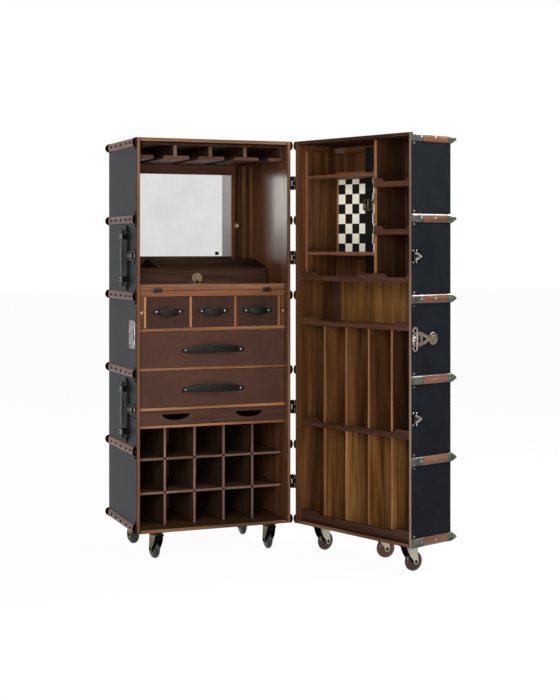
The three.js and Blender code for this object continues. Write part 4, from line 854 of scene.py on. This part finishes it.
for name, z in zip(("upper_handle", "lower_handle"), CARRY):
    build = Build(f"{name}_strap")
    edge = [(CARRY_END + 9 * (1 - (k / 10) ** 2), z + k * 10) for k in range(-10, 11)]
    base = ([(CARRY_Y + wide, up) for wide, up in edge]
            + arc(CARRY_Y, z + 113, CARRY_END, CARRY_END, 0, 180, 10)
            + [(CARRY_Y - wide, up) for wide, up in reversed(edge)]
            + arc(CARRY_Y, z - 113, CARRY_END, CARRY_END, 180, 360, 10))
    build.plate([base], "yz", -4.5, -0.3, DULL_BLACK, 1.2)
    rings = []
    for along, out in squared_arch(CARRY_HALF - 4, CARRY_OUT - 3, 44):
        share = max(0.0, 1 - (along / 78) ** 2)
        thick, width = 5 + 5 * share, 22 + 20 * share
        rings.append([(-max(out, 3.2) - thick / 2 * math.cos(t), CARRY_Y + width / 2 * math.sin(t), z + along)
                      for t in full_turn(16)])
    build.loft(rings, BLACK)
    for side in (-1, 1):
        keeper = z + side * 82
        for x, wide, tall, material, edge in (
            ((-CARRY_OUT - 2, -CARRY_OUT + 9), 38, 22, IRON, 2), ((-CARRY_OUT + 7, -0.3), 18, 22, IRON, 1),
            ((-CARRY_OUT - 3.4, -CARRY_OUT - 1), 36, 19, PLATE, 1),
        ):
            build.block(x, around(CARRY_Y, wide), around(keeper, tall), material, edge)
        for shift in (-11, 11):
            build.dome((-CARRY_OUT - 3.2, CARRY_Y + shift, keeper), "x", 2.6, 1.4, IRON, 12, -1)
        build.dome((-18.5, CARRY_Y, z + side * 104), "x", 9, 5, BLACK, 18, -1)
    build.done("main_case", "black_leather", (name,))

# Strike plate with its holes, and the two draw-latch catches
strike = Build("strike_plate")
key_way = arc(34, LOCK + 8, 8.5, 8.5, -20, 200, 10) + arc(34, LOCK - 8, 8.5, 8.5, 160, 380, 10)
holes = [circle(y, LOCK + lift, 6) for y, lift in product((29, 88), (-46, 46))]
holes += [circle(78, LOCK + 2, 5), key_way]
strike.plate([rounded(19, 98, LOCK - 54.5, LOCK + 54.5, 7)] + holes, "yz", -3, 0.5, PINK_STEEL, 0.4)
strike.block((-2, 0), (22, 95), (LOCK - 52, LOCK + 52), IRON, 0.1)
strike.done("main_case", "steel")
catches = Build("latch_catches")
for z in LATCHES:
    outline = rounded(18, 112, z - 17, z + 17, 16.5, 8)
    catches.plate([outline], "yz", -1.5, 0.5, IRON, 0.5)
    catches.plate([outline, rounded(22, 108, z - 13, z + 13, 12.5, 8)], "yz", -4.5, -1, PLATE, 0.9)
    catches.block((-8, -1), (49, 82), around(z, 17.6), PLATE, 2)
    catches.rod("y", 2.4, 40, 91, (-5, z), IRON, 14)
    for lift in (-26, 26):
        catches.dome((0, 20, z + lift), "x", 4.6, 2.6, IRON, 14, -1)
catches.done("main_case", "steel")

# Lid: slots, shelves and lips
LIP_Y, LIP_RISE, LIP_SLOPE = (22, 32), 13, 16
UPPER_SHELF, LOWER_SHELF, MIDDLE_SHELF, SHELF = 954, 780, 385, 12
ENDS = [(FULL[0], FULL[0] + 84), (FULL[1] - 84, FULL[1])]
LID_SHELF_Y = (LIP_Y[1], LID_BACK - SEAT)
SLOTS = [MIDDLE + (i - 1.5) * 121 for i in range(4)]
HALF_LAP = MIDDLE_SHELF + SHELF / 2


def lip(build, span, bottom, raised, height=20, place_y=LIP_Y, tone="lip"):
    """A front lip whose top edge rises in a smooth curve at each raised span."""
    x0, x1 = span
    low = bottom + height
    curve = [(k / 8, 0.5 * math.cos(math.pi * k / 8)) for k in range(9)]
    crest = low + LIP_RISE
    top = []
    for start_at, end_at in raised:
        if start_at > x0:
            top += [(start_at - LIP_SLOPE * (1 - along), low + LIP_RISE * (0.5 - wave))
                    for along, wave in curve]
        else:
            top.append((x0, crest))
        if end_at < x1:
            top += [(end_at + LIP_SLOPE * along, low + LIP_RISE * (0.5 + wave)) for along, wave in curve]
        else:
            top.append((x1, crest))
    build.plate([[(x0, bottom)] + top + [(x1, bottom)]], "xz", *place_y, f"{tone} x", 0.8)


def lid_shelf(build, span, bottom, raised):
    """A shelf of the lid with the lip on its front edge."""
    build.block(span, LID_SHELF_Y, (bottom, bottom + SHELF), "warm x")
    lip(build, span, bottom, raised)


build = Build("slot_boards", LID)
lid_shelf(build, FULL, LOWER_SHELF, ENDS)
for x in SLOTS:
    # The lower divider boards take the lightened wood, painted light; the last divider's right face in its
    # upper half takes the darkest wood, painted shade.
    for low, high, tone in ((FLOOR + SEAT, HALF_LAP, "golden"), (HALF_LAP, LOWER_SHELF, "warm")):
        inner = "deep" if x == SLOTS[-1] and tone == "warm" else tone
        build.block(around(x, DIVIDER), (34, LID_BACK - SEAT), (low, high), f"{tone} z",
                    sides={"-y": "edge z", "+x": f"{inner} z"})
build.done("lid", "wood", ("slot_frame",))
build = Build("middle_shelf_board", LID)
lid_shelf(build, FULL, MIDDLE_SHELF, ENDS)
build.done("lid", "wood", ("lid_shelf_middle",))
COMPARTMENT = (FULL[0] + 13, FULL[0] + 383)
COLUMN = COMPARTMENT[1] + 14
RIGHT_END = (FULL[1] - 22, FULL[1])
build = Build("upper_shelf_board", LID)
lid_shelf(build, FULL, UPPER_SHELF, [ENDS[0], around(COMPARTMENT[1] + 7, 124), RIGHT_END])
build.done("lid", "wood", ("lid_shelf_upper",))
build = Build("lid_bottom_lip", LID)
lip(build, FULL, FLOOR, ENDS, 29, tone="bottom_lip")
build.block((FULL[0], FULL[0] + 42), (LID_BACK - 7, LID_BACK), (LOWER_SHELF + SHELF, UPPER_SHELF), "tray z",
            1)
build.done("lid", "wood")

# Lid: upper fitment
FIT_BOTTOM, FIT_Y = UPPER_SHELF + SHELF + SEAT, (40, LID_BACK - SEAT)
BOARD_FRONT = LID_BACK - SEAT - 14
BOARD_Y = (BOARD_FRONT, LID_BACK - SEAT)
left = COMPARTMENT[0]
build = Build("fitment_boards", LID)
build.block((FULL[0], left), FIT_Y, (FIT_BOTTOM, 1464), "warm z", 0.9, {"-y": "edge z"})
# The column's right face takes the darkest wood, painted shade.
build.block((COMPARTMENT[1], COLUMN), FIT_Y, (FIT_BOTTOM, CEILING - SEAT), "warm z", 0.9,
            {"-y": "edge z", "+x": "deep z"})
for bottom in (1054, 1352):
    build.block(COMPARTMENT, (FIT_Y[0], BOARD_FRONT - 4.6), (bottom, bottom + 13), "warm x", 0.9,
                {"-y": "shelf x"})
lip(build, (left, left + 100), 1066, [(left, left + 62)], 3, (40, 50), "deep")
build.block(COMPARTMENT, BOARD_Y, (1456, 1482), "warm x", 1)
# Painted highlight: a grey patch standing for the light that the top batten's varnish reflects.
build.block(around(left + 39, 50), (BOARD_FRONT - 3, BOARD_FRONT + 1), (1460, 1480), "grey x", 1)
build.block(COMPARTMENT, BOARD_Y, (BOARD_BOTTOM - 12, BOARD_BOTTOM - SEAT), "dark x", 1)
for bottom in (1131, 1307):
    lid_shelf(build, (COLUMN, FULL[1]), bottom, [(COLUMN, COLUMN + 38), RIGHT_END])
build.done("lid", "wood", ("upper_fitment",))

# Game board
board = Build("game_board_panel", LID)
bx, bz = (BOARD_LEFT, BOARD_LEFT + BOARD_SIZE), (BOARD_BOTTOM, BOARD_BOTTOM + BOARD_SIZE)
field_x, field_z = [(low + BOARD_EDGE, high - BOARD_EDGE) for low, high in (bx, bz)]
edge_y = (BOARD_FRONT - 0.2, LID_BACK - SEAT)
board.block(field_x, BOARD_Y, field_z, SQUARES_PAINT, 0.3)
for x in ((bx[0], field_x[0]), (field_x[1], bx[1])):
    board.block(x, edge_y, bz, "edge z", 1)
for z in ((bz[0], field_z[0]), (field_z[1], bz[1])):
    board.block(field_x, edge_y, z, "edge x", 1)
board.done("lid", "game_board", ("game_board",))

# Strap and buckle
STRAP_X, STRAP_Y = (COMPARTMENT[0] + COMPARTMENT[1]) / 2 + 16, (BOARD_FRONT - SEAT - 4, BOARD_FRONT - SEAT)
BUCKLE_Z = BOARD_BOTTOM + BOARD_SIZE / 2 + 33
buckle = [rounded(*around(STRAP_X, wide), *around(BUCKLE_Z, tall), radius)
          for wide, tall, radius in ((53, 45, 10), (41, 33, 6))]
strap = Build("board_strap_leather", LID)
strap.block(around(STRAP_X, 38), STRAP_Y, (985, 1474), BLACK, 1.2)
strap.plate(buckle, "xz", STRAP_Y[0] - 4, STRAP_Y[0] + 0.5, BRASS, 1.2)
strap.rod("z", 1.8, *around(BUCKLE_Z, 40), (STRAP_X, STRAP_Y[0] - 2), BRASS, 12)
strap.done("lid", "black_leather", ("board_strap",))

# Hasp and latches on the lid's free side
PIVOT_X, HASP_Y, LATCH_Y = WIDTH + 6.6, 21.5, 9
DISC_Y = HASP_Y + 85


def outline_at(z, points):
    """An outline in Y and Z whose heights are given from z."""
    return [(y, z + lift) for y, lift in points]


def knuckles(build, pivot, z, lever, material):
    """The two ears and the pin that a lock's lever turns on."""
    for side in (-1, 1):
        span = sorted((z + side * (lever / 2 + 0.3), z + side * (lever / 2 + 6.3)))
        build.rod("z", 3.2, *span, (PIVOT_X, pivot), material, 16)
        build.block((WIDTH, PIVOT_X), around(pivot, 6.4), span, material, 0.5)
    build.rod("z", 1.4, *around(z, lever + 6), (PIVOT_X, pivot), material, 10)


fittings = Build("lock_plates", LID)
fittings.plate([rounded(3, 36, LOCK - 20, LOCK + 20, 4)], "yz", WIDTH - 0.5, WIDTH + 2.4, SILVER, 0.5)
for lift in (-32, 32):
    rim = circle(16, LOCK + lift, 13.5, 28)
    fittings.plate([rim, circle(16, LOCK + lift, 5.5, 18)], "yz", WIDTH - 0.4, WIDTH + 4.4, PLATE, 1.6)
    fittings.plate([rim], "yz", WIDTH - 0.4, WIDTH + 0.8, IRON, 0.3)
fittings.block((WIDTH, WIDTH + 9.4), (-0.4, 17.6), around(LOCK, 20), PLATE, 2.4)
knuckles(fittings, HASP_Y, LOCK, 56, SILVER)
for z in LATCHES:
    fittings.plate([rounded(2.4, 40, z - 27, z + 27, 12)], "yz", WIDTH - 0.5, WIDTH + 1.6, IRON, 0.4)
    knuckles(fittings, LATCH_Y, z, 32, IRON)
    for lift, y in product((21, -21), (8, 24)):
        fittings.lathe([(0, -0.5), (3.6, -0.5), (3.6, 1), (2.4, 2.6), (0, 3)], (WIDTH + 1.5, y, z + lift),
                       "x", PINK_STEEL, 14)
    for lift in (-1, 1):
        inner = [(14, z + lift * 17), (33, z), (33, z - lift * 3.6), (27.5, z), (13, z + lift * 12.5)]
        fittings.plate([inner], "yz", WIDTH + 1, WIDTH + 4, PLATE)
fittings.done("lid", "steel")

hasp = Build("hasp_leaf", LID)
wing = outline_at(LOCK, [(HASP_Y, -27), (42, -26.5), (64, -18), (DISC_Y - 19, -10), (DISC_Y - 19, 10),
                         (64, 18), (42, 26.5), (HASP_Y, 27), (HASP_Y, 12), (38, 12), (38, -12),
                         (HASP_Y, -12)])
window = outline_at(LOCK, [(50, -11), (68, -2.5), (68, 2.5), (50, 11)])
raised = outline_at(LOCK, [(46, -17), (76, -5), (76, 5), (46, 17)])
hasp.plate([wing, window], "yz", PIVOT_X - 1.5, PIVOT_X + 1.2, HASP_BRASS, 0.5)
hasp.plate([raised, window], "yz", PIVOT_X, PIVOT_X + 2.4, PLATE, 0.8)
for radius, long in ((3.2, 56), (3.3, 20)):
    hasp.rod("z", radius, *around(LOCK, long), (PIVOT_X, HASP_Y), SILVER, 16)
hasp.lathe([(0, -1.5), (23.5, -1.5), (23.5, 0.8), (22, 2), (20, 2), (18.5, 1.3), (11, 1.3), (10, 2), (8.5, 2),
            (7.5, 1.5), (4, 1.7), (3, 2.6), (0, 2.7)], (PIVOT_X, DISC_Y, LOCK), "x", HASP_BRASS, 48)
hasp.done("lock_hasp", "brass", ("lock_hasp",))
for name, z in zip(("latch_lever_upper", "latch_lever_lower"), LATCHES):
    lever = Build(f"{name}_arm", LID)
    bail = outline_at(z, [(LATCH_Y, -16), (19, -16), (46.5, -2), (46.5, 2), (19, 16), (LATCH_Y, 16),
                          (LATCH_Y, 11), (17, 10.5), (39, 0), (17, -10.5), (LATCH_Y, -11)])
    lever.plate([bail], "yz", PIVOT_X - 1.5, PIVOT_X + 1.5, PINK_STEEL, 0.8)
    lever.rod("z", 3.2, z - 16, z + 16, (PIVOT_X, LATCH_Y), BRONZE, 16)
    lever.done(name, "steel", (name,))

# Casters. In a caster's frame the swivel axis is the origin and the wheel trails along X.
TRAIL, WHEEL_R, WHEEL_HALF = 18, 37 * math.cos(math.pi / 16), 13.5
AXLE_Z = WHEEL_R - 105
LEG, CROWN = 16.2, -6.3  # the inner faces of the fork's legs, and its top
PEDAL_X, PEDAL_Z = -11, CROWN - 8


def caster_plate(name, place, body, steel):
    plate = Build(name, place)
    plate.plate([rounded(-31, 31, -24, 24, 5)], "xy", -2.5, 0.3, steel, 0.5)
    plate.rod("z", 13, -6, -2, (0, 0), steel, 28)
    for sx, sy in product((-1, 1), repeat=2):
        plate.dome((sx * 24, sy * 17, -2.4), "z", 3.8, 2, NICKEL, 12, -1)
    plate.done(body, "steel")


def caster_fork(name, place, body, steel, brake):
    fork = Build(name, place)
    leg = ([(-22, CROWN - 2), (-21.5, CROWN - 8), (-16, CROWN - 24), (-6, CROWN - 42),
            (TRAIL - 11, AXLE_Z + 6)] + arc(TRAIL, AXLE_Z, 10.5, 10.5, 200, 360, 14)
           + [(TRAIL + 10.5, AXLE_Z + 8), (26, CROWN - 30), (25.5, CROWN - 2)])
    guard = [(-21.5, CROWN - 8), (-24, CROWN - 20), (-19, CROWN - 34), (-10, CROWN - 48), (1, AXLE_Z),
             (8, AXLE_Z - 9), (17, AXLE_Z - 13.5), (17, AXLE_Z - 11), (9.5, AXLE_Z - 7.6), (6.5, AXLE_Z),
             (9.5, AXLE_Z + 7.6), (17, AXLE_Z + 11), (4, CROWN - 20), (0, CROWN - 18)]
    for side in (-1, 1):
        fork.plate([leg], "xz", *sorted((side * LEG, side * (LEG + 2.5))), steel, 0.9)
    fork.lathe([(0, CROWN), (18, CROWN), (23, CROWN - 1.2), (25.5, CROWN - 4), (24, CROWN - 5),
                (21, CROWN - 3.6), (0, CROWN - 3)], (0, 0, 0), "z", steel, 40)
    fork.block((-20, 24), (-LEG - 1, LEG + 1), (CROWN - 4, CROWN - 1), steel, 1)
    fork.rod("y", 4, -LEG - 2, LEG + 2, (TRAIL, AXLE_Z), IRON, 16)
    for side in (-1, 1):
        fork.rod("y", 6.4, *sorted((side * (LEG + 2), side * (LEG + 4.5))), (TRAIL, AXLE_Z), IRON, 6, 0.8)
        if brake:
            fork.plate([guard], "xz", *sorted((side * 14.2, side * (LEG + 0.2))), IRON, 0.5)
    if brake:
        fork.rod("y", 1.9, -LEG - 1, LEG + 1, (PEDAL_X, PEDAL_Z), IRON, 12)
    fork.done(body, "steel", (body,))


def caster_wheel(name, place, body, tyre):
    wheel = Build(name, place)
    half = [(4.6, 15), (9.4, 15), (10, 14.6)]
    for share in (0.36, 0.48, 0.6, 0.7, 0.78, 0.85, 0.9, 0.94, 0.97, 0.99, 1):
        half.append((WHEEL_R * share, max(WHEEL_HALF * (1 - share ** 2.6) ** (1 / 2.6), 3)))
    profile = [(r, -w) for r, w in half] + [(r, w) for r, w in reversed(half)]
    wheel.lathe(profile, (TRAIL, 0, AXLE_Z), "y", tyre, 64)
    wheel.done(body, "wheel_resin", (body,), 50, weld=True)


def caster_pedal(name, place, body):
    """The shoe, a hood that follows the wheel, and a broad toe whose tip points up and out."""
    pedal = Build(name, place)
    to_axle = (TRAIL - PEDAL_X, AXLE_Z - PEDAL_Z)
    reach = math.hypot(*to_axle) - 38
    aim = math.atan2(to_axle[1], to_axle[0]) - math.radians(25)
    tip = (PEDAL_X + reach * math.cos(aim), PEDAL_Z + reach * math.sin(aim))
    side_x, side_z = -3.5 * math.sin(aim), 3.5 * math.cos(aim)
    hood = [(-30, PEDAL_Z + 2.5), (-20, PEDAL_Z + 2), (PEDAL_X, PEDAL_Z + 3.8), (PEDAL_X + 4, PEDAL_Z),
            (tip[0] + side_x, tip[1] + side_z), (tip[0] - side_x, tip[1] - side_z), (-18.5, PEDAL_Z - 22.5),
            (-25, PEDAL_Z - 17), (-30, PEDAL_Z - 7)]
    pedal.plate([hood], "xz", -12, 12, IRON, 1.4)
    toe = []
    for x, z, thick, wide in ((-20, 0.5, 2.4, 12), (-25, 0.6, 3, 17), (-30, 1.8, 3, 17), (-35, 4.2, 2.4, 12),
                              (-38.5, 6.6, 1.4, 6)):
        section = rounded(-wide, wide, PEDAL_Z + z - thick, PEDAL_Z + z + thick, min(thick, wide) * 0.9, 3)
        toe.append([(x, a, b) for a, b in section])
    pedal.loft(toe, IRON)
    pedal.rod("y", 4, -13.6, 13.6, (PEDAL_X, PEDAL_Z), IRON, 18)
    pedal.done(body, "black_paint", (body,))


def caster(prefix, place, body, name, x, y, heading, brake, tyre, steel):
    spot = place @ Matrix.Translation((x * MM, y * MM, 0)) @ Matrix.Rotation(math.radians(heading), 4, "Z")
    square = spot @ Matrix.Rotation(math.radians(-heading), 4, "Z")
    caster_plate(f"{prefix}_plate_{name}", square, body, steel)
    caster_fork(f"{prefix}_fork_shell_{name}", spot, f"{prefix}_fork_{name}", steel, brake)
    caster_wheel(f"{prefix}_wheel_body_{name}", spot, f"{prefix}_wheel_{name}", tyre)
    if brake:
        caster_pedal(f"{prefix}_pedal_lever_{name}", spot, f"{prefix}_pedal_{name}")


for name, x, y, heading, brake in (
    ("front_left", 88, 33, 100, True), ("front_right", 550, 33, 90, True),
    ("back_left", 88, 324, 110, False), ("back_right", 550, 324, 90, False),
):
    caster("main", MAIN, "main_case", name, x, y, heading, brake, RESIN_BLACK, CREAM)
for name, x, y, heading, brake, tyre in (
    ("left", 78, 70, 88, True, RESIN_BROWN), ("middle", 324.5, 151, 67, False, RESIN_RED),
    ("right", 549, 70, 78, True, RESIN_BROWN),
):
    caster("lid", LID, "lid", name, x, y, heading, brake, tyre, LIGHT_CREAM)


# Stage: floor, light and camera

def looked_at(tree):
    """1 where the camera, a mirror or glass looks, and 0 for the light that falls on things."""
    rays = node(tree, "LightPath").outputs
    seen = join(tree, rays["Is Camera Ray"], rays["Is Glossy Ray"], "MAXIMUM")
    return join(tree, seen, rays["Is Transmission Ray"], "MAXIMUM")


def make_floor():
    """A wide floor that takes shadows and is nearly plain white where it is looked at."""
    mesh = bpy.data.meshes.new("floor")
    reach = 30
    corners = [(x * reach, y * reach, 0) for x, y in ((-1, -1), (1, -1), (1, 1), (-1, 1))]
    mesh.from_pydata(corners, [], [(0, 1, 2, 3)])
    floor = bpy.data.objects.new("floor", mesh)
    bpy.context.scene.collection.objects.link(floor)
    paint = bpy.data.materials.new("floor_paint")
    paint.use_nodes = True
    tree = paint.node_tree
    tree.nodes.remove(tree.nodes["Principled BSDF"])
    lit = node(tree, "BsdfDiffuse", {"Color": (0.92, 0.92, 0.92, 1)}).outputs[0]
    white = node(tree, "Emission", {"Color": (1, 1, 1, 1), "Strength": 1.0}).outputs[0]
    share = join(tree, looked_at(tree), 0.965, "MULTIPLY")
    mixed = node(tree, "MixShader", {0: share, 1: lit, 2: white}).outputs[0]
    tree.links.new(mixed, tree.nodes["Material Output"].inputs["Surface"])
    mesh.materials.append(paint)


def make_world():
    """White where it is looked at, and a dim fill elsewhere."""
    world = bpy.data.worlds.new("studio")
    bpy.context.scene.world = world
    world.use_nodes = True
    tree = world.node_tree
    background = tree.nodes["Background"]
    background.inputs["Color"].default_value = (1, 1, 1, 1)
    tree.links.new(spread(tree, looked_at(tree), 0.30, 1.0, 0, 1), background.inputs["Strength"])


def lamp(name, place, target, size, power, color=WHITE):
    data = bpy.data.lights.new(name, "AREA")
    data.shape, data.size, data.size_y = "RECTANGLE", size[0], size[1]
    data.energy, data.color = power, color
    made = bpy.data.objects.new(name, data)
    bpy.context.scene.collection.objects.link(made)
    made.location = place
    made.rotation_euler = (Vector(target) - Vector(place)).to_track_quat("-Z", "Y").to_euler()


make_floor()
make_world()
lamp("key", (-2.3, -3.7, 2.1), (0, 0, 0.8), (1.6, 1.6), 105, (1.0, 0.985, 0.96))
lamp("low", (-0.9, -3.4, 0.5), (0.1, 0, 0.3), (2.6, 0.7), 30, (1.0, 0.97, 0.92))
lamp("overhead", (2.2, -0.2, 3.0), (0.4, -0.3, 0.9), (2.4, 0.9), 135)
lamp("lid_top", (0.8, -1.2, 2.4), (0.45, -0.5, 1.55), (0.5, 0.5), 30)

camera_data = bpy.data.cameras.new("camera")
camera = bpy.data.objects.new("camera", camera_data)
bpy.context.scene.collection.objects.link(camera)
camera.location = MAIN @ (Vector((-1445.5, -5095.6, 1084.9)) * MM)
camera.rotation_euler = (math.radians(90), 0, -math.atan2(0.3697, 0.9291))
camera_data.lens, camera_data.sensor_width, camera_data.shift_y = 71.85, 36, -0.147
camera_data.clip_end = 200
bpy.context.scene.camera = camera
bpy.context.scene.view_settings.view_transform = "Standard"
